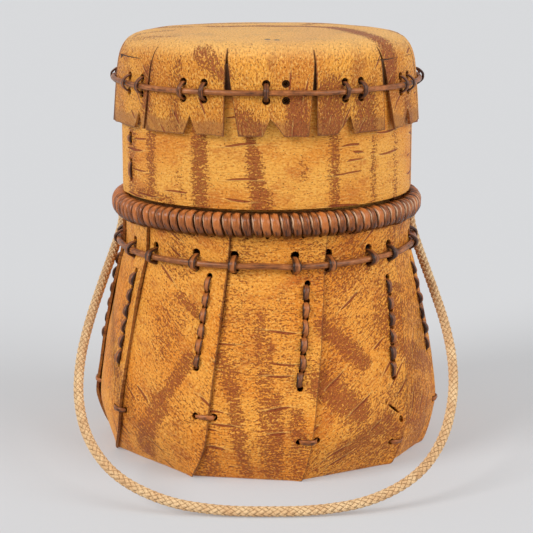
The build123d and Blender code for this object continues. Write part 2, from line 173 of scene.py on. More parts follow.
def sums(tree, kind, a, b=0.0, c=0.0):
    node = addNode(tree, "ShaderNodeMath", {"operation": kind})
    for value, socket in zip((a, b, c), node.inputs):
        feed(tree, value, socket)
    return node.outputs[0]


def vectorSums(tree, kind, a, b=(0.0, 0.0, 0.0)):
    node = addNode(tree, "ShaderNodeVectorMath", {"operation": kind})
    for value, socket in zip((a, b), node.inputs):
        feed(tree, value, socket)
    return node.outputs["Value" if kind == "LENGTH" else "Vector"]


def vectorOf(tree, x=0.0, y=0.0, z=0.0):
    return addNode(tree, "ShaderNodeCombineXYZ", X=x, Y=y, Z=z).outputs[0]


def splitVector(tree, vector):
    return addNode(tree, "ShaderNodeSeparateXYZ", Vector=vector).outputs


def band(tree, value, low, high, start=0.0, end=1.0):  # soft step between two levels
    node = addNode(tree, "ShaderNodeMapRange", {"interpolation_type": "SMOOTHSTEP"}, Value=value,
                   From_Min=low, From_Max=high, To_Min=start, To_Max=end)
    return node.outputs["Result"]


def inSteps(tree, where, size, shift=(0.0, 0.0, 0.0)):  # coordinates counted in steps of a size, mm
    size = (*size, 20.0)[:3]  # a sheet has two sizes, and one step of 20 mm through it
    scale = [1.0 / (s * mm) for s in size]
    return addNode(tree, "ShaderNodeMapping", Location=shift, Scale=scale, Vector=where).outputs["Vector"]


def grain(tree, where, detail, rough):
    node = addNode(tree, "ShaderNodeTexNoise", Scale=1.0, Detail=detail, Roughness=rough, Vector=where)
    return node.outputs["Fac"]


def tint(tree, share, a, b):  # a colour between two others
    node = addNode(tree, "ShaderNodeMix", {"data_type": "RGBA"})
    for value, socket in ((share, 0), (a, 6), (b, 7)):
        feed(tree, value, node.inputs[socket])
    return node.outputs[2]


def blend(tree, share, a, b):  # a number between two others
    node = addNode(tree, "ShaderNodeMix")
    for value, socket in ((share, 0), (a, 2), (b, 3)):
        feed(tree, value, node.inputs[socket])
    return node.outputs[0]


def stain(tree, colour, over, amount, strength):  # lays a second colour over the first
    return tint(tree, sums(tree, "MULTIPLY", amount, strength), colour, over)


def attribute(tree, name, output="Fac"):
    return addNode(tree, "ShaderNodeAttribute", {"attribute_name": name}).outputs[output]


def uvMap(tree, name):
    return addNode(tree, "ShaderNodeUVMap", {"uv_map": name}).outputs["UV"]


def newFinish(name, roughness, specular):
    finish = bpy.data.materials.new(name)
    finish.use_nodes = True
    shader = finish.node_tree.nodes["Principled BSDF"]
    shader.inputs["Roughness"].default_value = roughness
    shader.inputs["Specular IOR Level"].default_value = specular
    return finish, finish.node_tree, shader


def roughen(tree, shader, height, depth):  # bump whose full height is depth, mm
    node = addNode(tree, "ShaderNodeBump", Distance=depth * mm, Strength=1.0, Height=height)
    tree.links.new(node.outputs["Normal"], shader.inputs["Normal"])


# Birch bark: golden sheet with red-brown scuffs, short dashes of lenticels and a fine grain.
# The sheet's own UV map runs its first axis along the lenticels, in metres.
barkLook = {
    "light": ink(252, 180, 74), "mid": ink(240, 148, 42), "deep": ink(186, 92, 24),
    "scuff": ink(160, 78, 32), "deepScuffAndShade": ink(124, 52, 18), "dash": ink(150, 62, 20),
    # The last colour on the next line is a painted highlight for the lid's top; the glint colour is a painted
    # highlight too
    "pit": ink(96, 44, 16), "glint": ink(255, 206, 116), "tip": ink(172, 110, 52), "topSheenColour": ink(255, 206, 128),
    # The first two colours on the next line are painted shade: a dark tint along cut edges, partly their own
    # colour, and near black for seams, holes and gaps
    "edge": ink(120, 70, 34), "grime": ink(44, 20, 10), "mark": ink(52, 66, 78), "marks": [],
    "roughness": 0.48, "specular": 0.25, "bump": 1.4, "spread": 3.8, "mottle": 0.66, "pits": 0.69,
    "clouds": (48.0, 34.0), "smudges": (20.0, 11.0), "fibres": (7.5, 0.55), "freckles": (1.5, 0.95),
    "specks": (1.1, 0.9), "streaks": (4.4, 1.3), "crumbs": (1.2, 0.85),
    "dashes": 0.36, "dashCell": (30.0, 8.0), "dashLength": (0.15, 0.12), "dashWidth": (0.035, 0.06),
    "wander": (30.0, 30.0),
}


def barkGround(tree, sheet, look, shift):  # clouded gold with smudges, fibres, freckles and glints
    cloud = grain(tree, inSteps(tree, sheet, look["clouds"], shift), 3.0, 0.55)
    smudge = grain(tree, inSteps(tree, sheet, look["smudges"], (shift[1], shift[0], 3.0)), 5.0, 0.68)
    fibre = grain(tree, inSteps(tree, sheet, look["fibres"], shift), 3.0, 0.65)
    freckle = grain(tree, inSteps(tree, sheet, look["freckles"], shift), 3.0, 0.65)
    # Glints: painted highlights on the raised grains
    glints = band(tree, freckle, 0.52, 0.66)
    colour = tint(tree, band(tree, cloud, 0.36, 0.6), look["mid"], look["light"])
    colour = stain(tree, colour, look["deep"], band(tree, smudge, 0.5, 0.66), 0.6)
    colour = stain(tree, colour, look["deep"], band(tree, fibre, 0.52, 0.7), 0.5)
    colour = stain(tree, colour, look["glint"], glints, 0.7 * look["mottle"])
    colour = stain(tree, colour, look["deep"], band(tree, freckle, 0.48, 0.36), look["mottle"])
    colour = stain(tree, colour, look["tip"], attribute(tree, "tip"), 0.7)
    # The lid's top painted paler: a painted highlight where it catches the light
    colour = stain(tree, colour, look["topSheenColour"], attribute(tree, "bleach"), 0.5)
    return colour, fibre, freckle, glints


def barkScuffs(tree, sheet, look, shift, colour, glints):  # kept to painted places, ragged along the grain
    streaks = grain(tree, inSteps(tree, sheet, look["streaks"], (shift[0], 2.0, 4.0)), 5.0, 0.75)
    crumbs = grain(tree, inSteps(tree, sheet, look["crumbs"], (4.0, shift[1], 2.0)), 3.0, 0.65)
    ragged = sums(tree, "MULTIPLY", sums(tree, "ADD", streaks, crumbs), 0.5)
    ragged = sums(tree, "SUBTRACT", ragged, 0.5)
    level = sums(tree, "MULTIPLY_ADD", ragged, look["spread"], attribute(tree, "scuff"))
    scuffed = band(tree, level, 0.44, 0.53)
    scuffColour = tint(tree, band(tree, crumbs, 0.34, 0.6), look["deepScuffAndShade"], look["scuff"])
    colour = stain(tree, colour, look["deep"], band(tree, level, 0.2, 0.5), 0.4)
    colour = stain(tree, colour, scuffColour, scuffed, 0.82)
    colour = stain(tree, colour, look["mid"], sums(tree, "MULTIPLY", glints, scuffed), 0.4)
    return colour, scuffed


def lenticels(tree, sheet, look, shift):  # one thin dash in some cells of a stretched cell pattern
    wander = grain(tree, inSteps(tree, sheet, look["wander"]), 1.0, 0.5)
    cells = vectorSums(tree, "ADD", inSteps(tree, sheet, look["dashCell"], shift), vectorOf(tree, y=wander))
    dots = addNode(tree, "ShaderNodeTexVoronoi", Scale=1.0, Vector=cells)
    along, across, _ = splitVector(tree, vectorSums(tree, "SUBTRACT", cells, dots.outputs["Position"]))
    chance, long, thick = splitVector(tree, dots.outputs["Color"])
    squares = []
    for off, drawn, size in ((along, long, look["dashLength"]), (across, thick, look["dashWidth"])):
        reach = sums(tree, "DIVIDE", off, sums(tree, "MULTIPLY_ADD", drawn, *size))
        squares.append(sums(tree, "POWER", reach, 2.0))
    oval = sums(tree, "SQRT", sums(tree, "ADD", *squares))
    likely = sums(tree, "ADD", chance, attribute(tree, "bleach"))  # none where the top's painted highlight lies
    shown = band(tree, likely, look["dashes"], look["dashes"] - 0.02)
    dash = sums(tree, "MULTIPLY", band(tree, oval, 1.0, 0.8), shown)
    ring = sums(tree, "MULTIPLY", band(tree, oval, 1.9, 1.0), shown)
    return dash, sums(tree, "MULTIPLY", ring, band(tree, across, 0.03, -0.03))


def barkFinish(name, shift, **own):
    look = {**barkLook, **own}
    finish, tree, shader = newFinish(name, look["roughness"], look["specular"])
    sheet = uvMap(tree, "sheet")
    colour, fibre, freckle, glints = barkGround(tree, sheet, look, shift)
    colour, scuffed = barkScuffs(tree, sheet, look, shift, colour, glints)
    dash, halo = lenticels(tree, sheet, look, shift)
    colour = stain(tree, colour, look["glint"], halo, 0.38)
    colour = stain(tree, colour, look["dash"], dash, 0.9)
    speck = grain(tree, inSteps(tree, sheet, look["specks"], (shift[1], 5.0, 1.0)), 1.0, 0.5)
    pits = band(tree, speck, look["pits"], look["pits"] + 0.05)
    colour = stain(tree, colour, look["pit"], pits, 0.7)
    # Cut edges and flap outlines darkened: partly the cut edge's own colour, partly painted shade along laps
    # and slits
    colour = stain(tree, colour, look["edge"], band(tree, attribute(tree, "edge"), 0.84, 0.97), 0.75)
    # Painted shade kept in an attribute: a soft brown darkening, then near black in seams, holes and gaps,
    # under the rim and under the lid's flaps
    grime = attribute(tree, "grime")
    colour = stain(tree, colour, look["deepScuffAndShade"], band(tree, grime, 0.45, 0.9), 0.3)
    colour = stain(tree, colour, look["grime"], band(tree, grime, 0.86, 0.97), 0.92)
    for u, v, long, wide in look["marks"]:  # small dark marks at places on the sheet
        spot = inSteps(tree, sheet, (long, wide, 1.0), (-u / long, -v / wide, 0.0))
        shown = band(tree, vectorSums(tree, "LENGTH", spot), 1.15, 0.7, 0.0, 0.9)
        colour = tint(tree, shown, colour, look["mark"])
    feed(tree, colour, shader.inputs["Base Color"])

    height = sums(tree, "MULTIPLY", fibre, 0.35)
    for layer, rise in ((freckle, 0.65), (scuffed, -0.22), (dash, -0.25), (halo, 0.1), (pits, -0.5)):
        height = sums(tree, "MULTIPLY_ADD", layer, rise, height)
    roughen(tree, shader, height, look["bump"])
    dull = band(tree, freckle, 0.3, 0.7, look["roughness"] + 0.12, look["roughness"] - 0.1)
    feed(tree, dull, shader.inputs["Roughness"])
    return finish


# Split root and withy: brown skin with streaks along the strand and a dull shine.
# The strand attribute holds the run along a strand and its place in the section.
rootLook = {
    "warm": ink(178, 104, 50), "mid": ink(118, 66, 34), "deep": ink(42, 22, 12), "sheen": ink(200, 154, 112),
    "streak": 8.0, "fine": 0.42, "patch": (5.0, 2.2, 2.2), "wide": 2.7,
    "roughness": 0.36, "specular": 0.3, "coat": 0.12, "coatRoughness": 0.25, "bump": 0.25,
}
withyLook = {
    **rootLook, "warm": ink(198, 118, 58), "mid": ink(146, 86, 44), "deep": ink(78, 42, 22),
    "sheen": ink(206, 160, 118), "streak": 16.0, "fine": 0.5, "roughness": 0.38, "wide": 99.0,
}
rimLook = {  # each turn of the rim has a painted highlight on one shoulder of its crest and painted shade on its lower part
    **rootLook, "warm": ink(192, 110, 50), "mid": ink(150, 80, 32), "deep": ink(58, 28, 12),
    "sheen": ink(242, 202, 162), "streak": 7.0, "fine": 0.6, "roughness": 0.24, "wide": 4.6,
    "crest": (8.5, 11.0, 15.0, 19.5), "shadeBelow": (17.5, 23.0),
}


def strandFinish(name, look):
    finish, tree, shader = newFinish(name, look["roughness"], look["specular"])
    where = attribute(tree, "strand", "Vector")
    run, _, sideways = splitVector(tree, where)
    streak = grain(tree, inSteps(tree, where, (look["streak"], look["fine"], look["fine"])), 3.0, 0.6)
    patch = grain(tree, inSteps(tree, where, look["patch"], (3.0, 1.0, 0.0)), 3.0, 0.6)
    colour = tint(tree, band(tree, streak, 0.34, 0.6), look["deep"], look["mid"])
    tone = sums(tree, "MULTIPLY", attribute(tree, "tone"), 0.35)
    warmth = sums(tree, "ADD", tone, sums(tree, "MULTIPLY", patch, 0.9))
    colour = tint(tree, band(tree, warmth, 0.4, 0.85), colour, look["warm"])
    # Painted sheen in patches along the strand
    sheenPatches = sums(tree, "MULTIPLY", band(tree, patch, 0.54, 0.7), band(tree, streak, 0.45, 0.62))
    colour = stain(tree, colour, look["sheen"], sheenPatches, 0.4)
    colour = stain(tree, colour, look["deep"], band(tree, patch, 0.42, 0.28), 0.7)
    half = look["wide"] * mm / 2
    # Each strand's sides darkened: painted shade where it meets the next strand
    edge = sums(tree, "DIVIDE", sums(tree, "ABSOLUTE", sideways), half)
    colour = stain(tree, colour, look["deep"], band(tree, edge, 0.66, 0.98), 0.85)
    # Painted highlight on the crest's lit shoulder, and painted shade down the turn's lower part
    if "crest" in look:
        rise0, rise1, fall1, fall0 = (length * mm for length in look["crest"])
        crest = sums(tree, "MULTIPLY", band(tree, run, rise0, rise1), band(tree, run, fall0, fall1))
        shoulder = band(tree, sums(tree, "DIVIDE", sideways, half), 0.4, 0.7)
        lit = sums(tree, "MULTIPLY", sums(tree, "MULTIPLY", crest, shoulder), band(tree, streak, 0.4, 0.6))
        colour = stain(tree, colour, look["sheen"], lit, 0.8)
        shadeBelow = band(tree, run, *(length * mm for length in look["shadeBelow"]))
        colour = stain(tree, colour, look["deep"], shadeBelow, 0.75)
    feed(tree, colour, shader.inputs["Base Color"])
    roughen(tree, shader, streak, look["bump"])
    shader.inputs["Coat Weight"].default_value = look["coat"]
    shader.inputs["Coat Roughness"].default_value = look["coatRoughness"]
    return finish


# Rope: plaited tan fibre, its plait drawn from the rope's own UV map
ropeLook = {
    "light": ink(246, 210, 160), "mid": ink(228, 184, 134),
    "deep": ink(164, 112, 68), "fleck": ink(92, 60, 36),
    "around": 5, "pitch": 3.6, "hairs": 4, "roughness": 0.8, "specular": 0.25, "bump": 0.5,
    "clouds": (9.0, 9.0, 9.0), "dust": (0.9, 0.9, 0.9), "fibres": (400.0, 8.0),
}


def ropeFinish(name, look):
    finish, tree, shader = newFinish(name, look["roughness"], look["specular"])
    plait = uvMap(tree, "plait")
    around, along, _ = splitVector(tree, plait)
    turns = sums(tree, "MULTIPLY", around, float(look["around"]))
    run = sums(tree, "DIVIDE", along, look["pitch"] * mm)
    ways = [sums(tree, "ADD", turns, run), sums(tree, "SUBTRACT", turns, run)]
    counted = sums(tree, "ADD", *(sums(tree, "FLOOR", way) for way in ways))
    parity = sums(tree, "PINGPONG", counted, 1.0)
    crowns, lines = [], []
    for way in ways:  # a strand's crown is 1 in its middle and 0 at its sides
        side = sums(tree, "SUBTRACT", sums(tree, "MULTIPLY", sums(tree, "FRACT", way), 2.0), 1.0)
        crowns.append(sums(tree, "SUBTRACT", 1.0, sums(tree, "POWER", sums(tree, "ABSOLUTE", side), 2.0)))
        lines.append(sums(tree, "SINE", sums(tree, "MULTIPLY", way, 2 * math.pi * look["hairs"])))
    hill = blend(tree, parity, *crowns)
    hair = blend(tree, parity, *lines)
    fibre = grain(tree, inSteps(tree, plait, look["fibres"]), 2.0, 0.5)
    onObject = addNode(tree, "ShaderNodeTexCoord").outputs["Object"]
    dust = grain(tree, inSteps(tree, onObject, look["dust"]), 2.0, 0.6)
    cloud = grain(tree, inSteps(tree, onObject, look["clouds"]), 3.0, 0.6)
    colour = tint(tree, band(tree, cloud, 0.36, 0.64), look["mid"], look["light"])
    # Painted shade where each strand dips at its sides
    colour = tint(tree, band(tree, hill, 0.5, 0.0), colour, look["deep"])
    colour = stain(tree, colour, look["deep"], band(tree, hair, 0.2, 1.0), 0.3)
    colour = stain(tree, colour, look["fleck"], band(tree, dust, 0.6, 0.72), 0.75)
    colour = stain(tree, colour, look["deep"], band(tree, fibre, 0.6, 0.75), 0.35)
    feed(tree, colour, shader.inputs["Base Color"])
    height = sums(tree, "MULTIPLY_ADD", hair, 0.12, hill)
    roughen(tree, shader, sums(tree, "MULTIPLY_ADD", dust, 0.5, height), look["bump"])
    return finish


bodyBark = barkFinish("bodyBark", (0.0, 0.0, 0.0), light=ink(250, 170, 64))
wallBark = barkFinish("wallBark", (3.7, 8.1, 0.0), light=ink(248, 176, 74), mid=ink(236, 150, 50),
                      deep=ink(196, 104, 32), mottle=0.6, dashLength=(0.2, 0.22))
capBark = barkFinish("capBark", (9.3, 1.9, 0.0), light=ink(242, 164, 54), mid=ink(220, 136, 36),
                     deep=ink(160, 78, 20), mottle=0.9, specular=0.3, pits=0.66,
                     marks=[(54.9, 0.5, 2.0, 1.6), (57.0, 5.0, 2.0, 1.6)])
innerBark = barkFinish("innerBark", (5.1, 4.4, 0.0), mid=ink(196, 120, 44))
rootSkin = strandFinish("rootSkin", rootLook)
withySkin = strandFinish("withySkin", withyLook)
rimSkin = strandFinish("rimSkin", rimLook)
ropeFibre = ropeFinish("ropeFibre", ropeLook)
print("stage: finishes made")


# Rope handle: leaves the neck's left hole, lies in front and goes back in at the right hole
ropeHole = {
    "y": 28.0, "z": 117.0, "radius": 2.9, "punch": 22.0, "inBody": 69.0, "inCollar": 65.0, "neck": 74.0,
}
rope = {
    "diameter": 5.0, "length": 541.8, "step": 0.6, "sides": 28, "relief": 0.7,
    "route": [
        (-62.3, 28.0, 117.0), (-77.8, 28.0, 117.0), (-77.8, 25.5, 109.5), (-81.6, 6.5, 97.5),
        (-86.4, -15.0, 84.0), (-91.2, -38.0, 68.5), (-93.8, -58.0, 54.0), (-92.6, -79.0, 39.5),
        (-85.6, -99.0, 25.5), (-71.0, -116.0, 13.6), (-47.0, -127.0, 5.6), (-22.0, -130.6, 2.9),
        (0.0, -131.0, 2.6),
        (24.0, -130.6, 2.9), (49.0, -126.6, 5.8), (72.0, -114.5, 14.0), (85.6, -97.0, 26.5),
        (92.2, -76.0, 41.5), (93.6, -56.0, 55.5), (91.4, -36.0, 69.5), (86.6, -15.0, 84.0),
        (81.8, 6.5, 97.5), (78.0, 25.5, 109.5), (78.0, 28.0, 117.0), (62.3, 28.0, 117.0),
    ],
}
knot = {
    "x": 57.7, "radius": 2.75, "thickness": 3.3, "steps": 150, "sides": 16, "relief": 0.2,
    "lobes": 3, "least": 0.78, "swell": 0.3, "reach": 1.3, "closing": 0.985,
}


def nurbsThrough(name, points):
    curve = bpy.data.curves.new(name, "CURVE")
    curve.dimensions = "3D"
    spline = curve.splines.new("NURBS")
    spline.points.add(len(points) - 1)
    for point, corner in zip(spline.points, points):
        point.co = (*(c * mm for c in corner), 1.0)
    spline.order_u = 3
    spline.use_endpoint_u = True
    spline.resolution_u = 24
    obj = bpy.data.objects.new(name, curve)
    scene.collection.objects.link(obj)
    return obj


def centreline(curveObject, step):  # points read from the spline, evenly spaced
    graph = bpy.context.evaluated_depsgraph_get()
    mesh = bpy.data.meshes.new_from_object(curveObject.evaluated_get(graph))
    raw = [v.co.copy() for v in mesh.vertices]
    bpy.data.meshes.remove(mesh)
    lengths = [0.0]
    for a, b in zip(raw, raw[1:]):
        lengths.append(lengths[-1] + (b - a).length)
    count = round(lengths[-1] / (step * mm))
    points, i = [], 0
    for k in range(count + 1):
        goal = lengths[-1] * k / count
        while i < len(raw) - 2 and lengths[i + 1] < goal:
            i += 1
        points.append(raw[i].lerp(raw[i + 1], (goal - lengths[i]) / max(lengths[i + 1] - lengths[i], 1e-12)))
    return points, lengths[-1]


def frames(points):  # tangent and side vectors carried along a line without twist
    side = None
    for i, point in enumerate(points):
        ahead = (points[min(i + 1, len(points) - 1)] - points[max(i - 1, 0)]).normalized()
        if side is None:
            side = ahead.orthogonal().normalized()
        side = (side - ahead * side.dot(ahead)).normalized()
        yield point, ahead, side, ahead.cross(side)


def plaitHeight(around, along):  # how far the plait stands up, -1 to 1
    turns, run = around * ropeLook["around"], along / (ropeLook["pitch"] * mm)
    right, left = turns + run, turns - run
    front = right if (math.floor(right) + math.floor(left)) % 2 == 0 else left
    return 1.0 - 2.0 * (2.0 * (front % 1.0) - 1.0) ** 2


def ropeTube(name, points, length, diameter, sides, relief):
    vertices, faces, uvs = [], [], []
    last = len(points) - 1
    for k, (point, ahead, side, up) in enumerate(frames(points)):
        for j in range(sides):
            turn = 2 * math.pi * j / sides
            radius = diameter / 2 - relief / 2 + relief / 2 * plaitHeight(j / sides, length * k / last)
            vertices.append(point + (side * math.cos(turn) + up * math.sin(turn)) * radius * mm)
    for k in range(last):
        for j in range(sides):
            a, b = k * sides + j, k * sides + (j + 1) % sides
            faces.append((a, b, b + sides, a + sides))
            v0, v1 = length * k / last, length * (k + 1) / last
            uvs += [(j / sides, v0), ((j + 1) / sides, v0), ((j + 1) / sides, v1), (j / sides, v1)]
    faces.append(tuple(reversed(range(sides))))
    faces.append(tuple(range(last * sides, (last + 1) * sides)))
    uvs += [(j / sides, 0.0) for j in reversed(range(sides))] + [(j / sides, length) for j in range(sides)]
    obj = newObject(name, vertices, faces)
    layer = obj.data.uv_layers.new(name="plait")
    layer.data.foreach_set("uv", [c for uv in uvs for c in uv])
    obj.data.shade_smooth()
    wear(obj, ropeFibre)
    return obj


def ropeKnot(name, side):  # the rope's end tied round itself
    points = []
    for k in range(knot["steps"] + 1):
        t = 2 * math.pi * k / knot["steps"] * knot["closing"]
        swell = knot["radius"] * (knot["least"] + knot["swell"] * math.cos(knot["lobes"] * t))
        points.append(Vector((
            side * (knot["x"] + knot["reach"] * math.sin(knot["lobes"] * t)),
            ropeHole["y"] + swell * math.cos(2 * t),
            ropeHole["z"] + swell * math.sin(2 * t),
        )) * mm)
    length = sum((b - a).length for a, b in zip(points, points[1:]))
    return ropeTube(name, points, length, knot["thickness"], knot["sides"], knot["relief"])


guide = nurbsThrough("ropeGuide", rope["route"])
ropePath, ropeLength = centreline(guide, rope["step"])
bpy.data.objects.remove(guide, do_unlink=True)
ropeHandle = ropeTube("ropeHandle", ropePath, ropeLength, rope["diameter"], rope["sides"], rope["relief"])
knots = [ropeKnot("knotLeft", -1), ropeKnot("knotRight", 1)]
print("stage: rope laid, %.1f mm" % (ropeLength / mm))


# Geometry nodes that turn guide lines into strands of root or withy, sizes in metres
strandInputs = {
    "Width": ("NodeSocketFloat", 0.0028), "Thickness": ("NodeSocketFloat", 0.0009),
    "Steps": ("NodeSocketInt", 12), "Wobble": ("NodeSocketFloat", 0.0002),
    "Wobble Size": ("NodeSocketFloat", 0.006), "Taper": ("NodeSocketFloat", 0.2),
    "Unevenness": ("NodeSocketFloat", 0.15), "Seed": ("NodeSocketInt", 1),
    "Finish": ("NodeSocketMaterial", None),
}


def socketOf(sockets, name, kind):  # the one of several sockets of a name that has this type
    return next(s for s in sockets if s.name == name and s.type == kind)


def guideCurves(tree, given):  # smooth curves through the guides' points, each with its own tone
    guides = addNode(tree, "GeometryNodeMeshToCurve", Mesh=given["Geometry"])
    chance = addNode(tree, "FunctionNodeRandomValue", {"data_type": "FLOAT"}, Seed=given["Seed"])
    toned = addNode(tree, "GeometryNodeStoreNamedAttribute", {"data_type": "FLOAT", "domain": "CURVE"},
                    Geometry=guides.outputs["Curve"], Name="tone")
    feed(tree, socketOf(chance.outputs, "Value", "VALUE"), socketOf(toned.inputs, "Value", "VALUE"))
    soft = addNode(tree, "GeometryNodeCurveSplineType", {"spline_type": "CATMULL_ROM"},
                   Curve=toned.outputs["Geometry"])
    return addNode(tree, "GeometryNodeResampleCurve", Curve=soft.outputs["Curve"], Count=given["Steps"])


def wobbled(tree, given, curves, position):  # moves the curves about by a noise, and gives the noise too
    cloud = addNode(tree, "ShaderNodeTexNoise", {"noise_dimensions": "4D"}, Vector=position,
                    W=sums(tree, "MULTIPLY", given["Seed"], 3.7), Detail=1.0,
                    Scale=sums(tree, "DIVIDE", 1.0, given["Wobble Size"]))
    centred = vectorSums(tree, "SUBTRACT", cloud.outputs["Color"], (0.5, 0.5, 0.5))
    sway = addNode(tree, "ShaderNodeVectorMath", {"operation": "SCALE"},
                   Scale=sums(tree, "MULTIPLY", given["Wobble"], 4.0))
    feed(tree, centred, sway.inputs[0])
    moved = addNode(tree, "GeometryNodeSetPosition", Geometry=curves.outputs["Curve"], Offset=sway.outputs[0])
    outward = addNode(tree, "GeometryNodeInputNamedAttribute", {"data_type": "FLOAT_VECTOR"}, Name="outward")
    facing = addNode(tree, "GeometryNodeSetCurveNormal", {"mode": "FREE"}, Curve=moved.outputs["Geometry"],
                     Normal=socketOf(outward.outputs, "Attribute", "VECTOR"))
    return facing, cloud.outputs["Fac"]


def thinnedEnds(tree, given, factor, cloud):  # the strand's size along it: uneven, and narrow at its ends
    fromMiddle = sums(tree, "SUBTRACT", sums(tree, "MULTIPLY", factor, 2.0), 1.0)
    ends = sums(tree, "POWER", sums(tree, "ABSOLUTE", fromMiddle), 3.0)
    narrowed = sums(tree, "SUBTRACT", 1.0, sums(tree, "MULTIPLY", ends, given["Taper"]))
    uneven = sums(tree, "MULTIPLY", given["Unevenness"], 4.0)
    swelling = sums(tree, "MULTIPLY", sums(tree, "SUBTRACT", cloud, 0.5), uneven)
    return sums(tree, "MULTIPLY", narrowed, sums(tree, "ADD", 1.0, swelling))


def captured(tree, geometry, kind, name, value):
    node = tree.nodes.new("GeometryNodeCaptureAttribute")
    node.capture_items.new(kind, name)
    feed(tree, geometry, node.inputs["Geometry"])
    feed(tree, value, node.inputs[name])
    return node.outputs["Geometry"], node.outputs[name]


def buildStrandTree():
    tree = bpy.data.node_groups.new("strandsOnGuides", "GeometryNodeTree")
    tree.is_modifier = True
    tree.interface.new_socket("Geometry", in_out="INPUT", socket_type="NodeSocketGeometry")
    for label, (kind, value) in strandInputs.items():
        socket = tree.interface.new_socket(label, in_out="INPUT", socket_type=kind)
        if value is not None:
            socket.default_value = value
    tree.interface.new_socket("Geometry", in_out="OUTPUT", socket_type="NodeSocketGeometry")
    given = tree.nodes.new("NodeGroupInput").outputs
    position = tree.nodes.new("GeometryNodeInputPosition").outputs["Position"]

    facing, cloud = wobbled(tree, given, guideCurves(tree, given), position)
    factor = tree.nodes.new("GeometryNodeSplineParameter")
    radius = thinnedEnds(tree, given, factor.outputs["Factor"], cloud)
    shaped = addNode(tree, "GeometryNodeSetCurveRadius", Curve=facing.outputs["Curve"], Radius=radius)
    line, run = captured(tree, shaped.outputs["Curve"], "FLOAT", "Run", factor.outputs["Length"])

    circle = addNode(tree, "GeometryNodeCurvePrimitiveCircle", Resolution=8, Radius=0.5)
    flat = addNode(tree, "GeometryNodeTransform", Geometry=circle.outputs["Curve"],
                   Scale=vectorOf(tree, given["Thickness"], given["Width"], 1.0))
    section, corner = captured(tree, flat.outputs["Geometry"], "VECTOR", "Section", position)
    swept = addNode(tree, "GeometryNodeCurveToMesh", Curve=line, Profile_Curve=section, Scale=radius,
                    Fill_Caps=True)
    sectionX, sectionY, _ = splitVector(tree, corner)
    kept = addNode(tree, "GeometryNodeStoreNamedAttribute", {"data_type": "FLOAT_VECTOR", "domain": "POINT"},
                   Geometry=swept.outputs["Mesh"], Name="strand")
    feed(tree, vectorOf(tree, run, sectionX, sectionY), socketOf(kept.inputs, "Value", "VECTOR"))
    smooth = addNode(tree, "GeometryNodeSetShadeSmooth", Geometry=kept.outputs["Geometry"])
    real = addNode(tree, "GeometryNodeRealizeInstances", Geometry=smooth.outputs["Geometry"])
    coloured = addNode(tree, "GeometryNodeSetMaterial", Geometry=real.outputs["Geometry"],
                       Material=given["Finish"])
    addNode(tree, "NodeGroupOutput", Geometry=coloured.outputs["Geometry"])
    return tree


strandTree = buildStrandTree()
strandSockets = {s.name: s.identifier for s in strandTree.interface.items_tree if s.in_out == "INPUT"}


def makeStrands(name, paths, look, finish):  # each path is a list of (point, outward) pairs
    vertices, edges, outward = [], [], []
    for path in paths:
        first = len(vertices)
        for point, direction in path:
            vertices.append(point)
            outward.extend(direction)
        edges += [(i, i + 1) for i in range(first, len(vertices) - 1)]
    obj = newObject(name, vertices, edges=edges)
    obj.data.attributes.new("outward", "FLOAT_VECTOR", "POINT").data.foreach_set("vector", outward)
    modifier = obj.modifiers.new("strands", "NODES")
    modifier.node_group = strandTree
    for label in ("Width", "Thickness", "Wobble", "Wobble Size"):
        if label in look:
            modifier[strandSockets[label]] = look[label] * mm
    for label in ("Steps", "Taper", "Unevenness", "Seed"):
        if label in look:
            modifier[strandSockets[label]] = look[label]
    modifier[strandSockets["Finish"]] = finish
    bakeModifiers(obj)
    return obj


# Body: nine lapped folds of one bark sheet. Seams start at the corners of the foot,
# swing sideways above it and then lean on up to the neck.
body = {
    "corners": [-69.7, -26.3, 12.0, 49.5, 77.5, 127.0, 172.0, 216.0, 264.0],
    "swing": [14.2, 7.3, 2.5, 1.5, 1.0, 6.0, 3.0, 7.0, 10.0],
    "lean": [2.5, 4.5, 7.5, 7.5, 2.0, 5.0, 6.0, 5.0, 3.0],
    "leanFrom": 24.0, "leanOver": 82.0, "leanMost": 1.35, "foldHeight": 26.0,
    "profile": [(0.0, 82.0), (1.0, 83.2), (4.4, 84.7), (11.3, 86.9), (18.0, 88.5), (24.8, 89.6), (34.7, 88.9),
                (47.7, 87.0), (60.7, 84.6), (73.6, 82.0), (86.5, 79.3), (96.0, 77.2), (103.5, 75.4),
                (110.0, 74.5), (118.0, 74.4), (131.0, 74.5)],
    "top": 130.8, "lap": 1.6, "thickness": 1.4, "tuck": 4.0, "curl": 0.65, "unevenness": 0.5,
    "bound": (98.0, 12.0), "lapThins": (116.0, 9.0), "curls": (0.88, 0.12),
    "footRadius": 80.0, "uvLevel": 50.0,
    "columns": 28, "rows": 66, "footLevels": [0.0, 0.5, 1.2, 2.2, 3.6, 5.4],
    "tears": [(45.6, 31.8, (4.6, 0.8, -38.0)), (48.7, 25.6, (2.2, 1.2, -70.0)),
              (42.4, 35.6, (1.3, 0.5, 60.0))],
}
gores = len(body["corners"])


def seamAngle(seam, height):
    turns, k = divmod(seam, gores)
    corner = body["corners"][k] + 360.0 * turns
    rise = min(body["leanMost"], max(0.0, (height - body["leanFrom"]) / body["leanOver"]))
    bow = 1.0 - (1.0 - min(1.0, height / body["foldHeight"])) ** 1.7
    return corner + body["swing"][k] * bow + body["lean"][k] * rise


def since(height, start, span):  # eases from 0 to 1 over a span above a height
    return ease((height - start) / span)


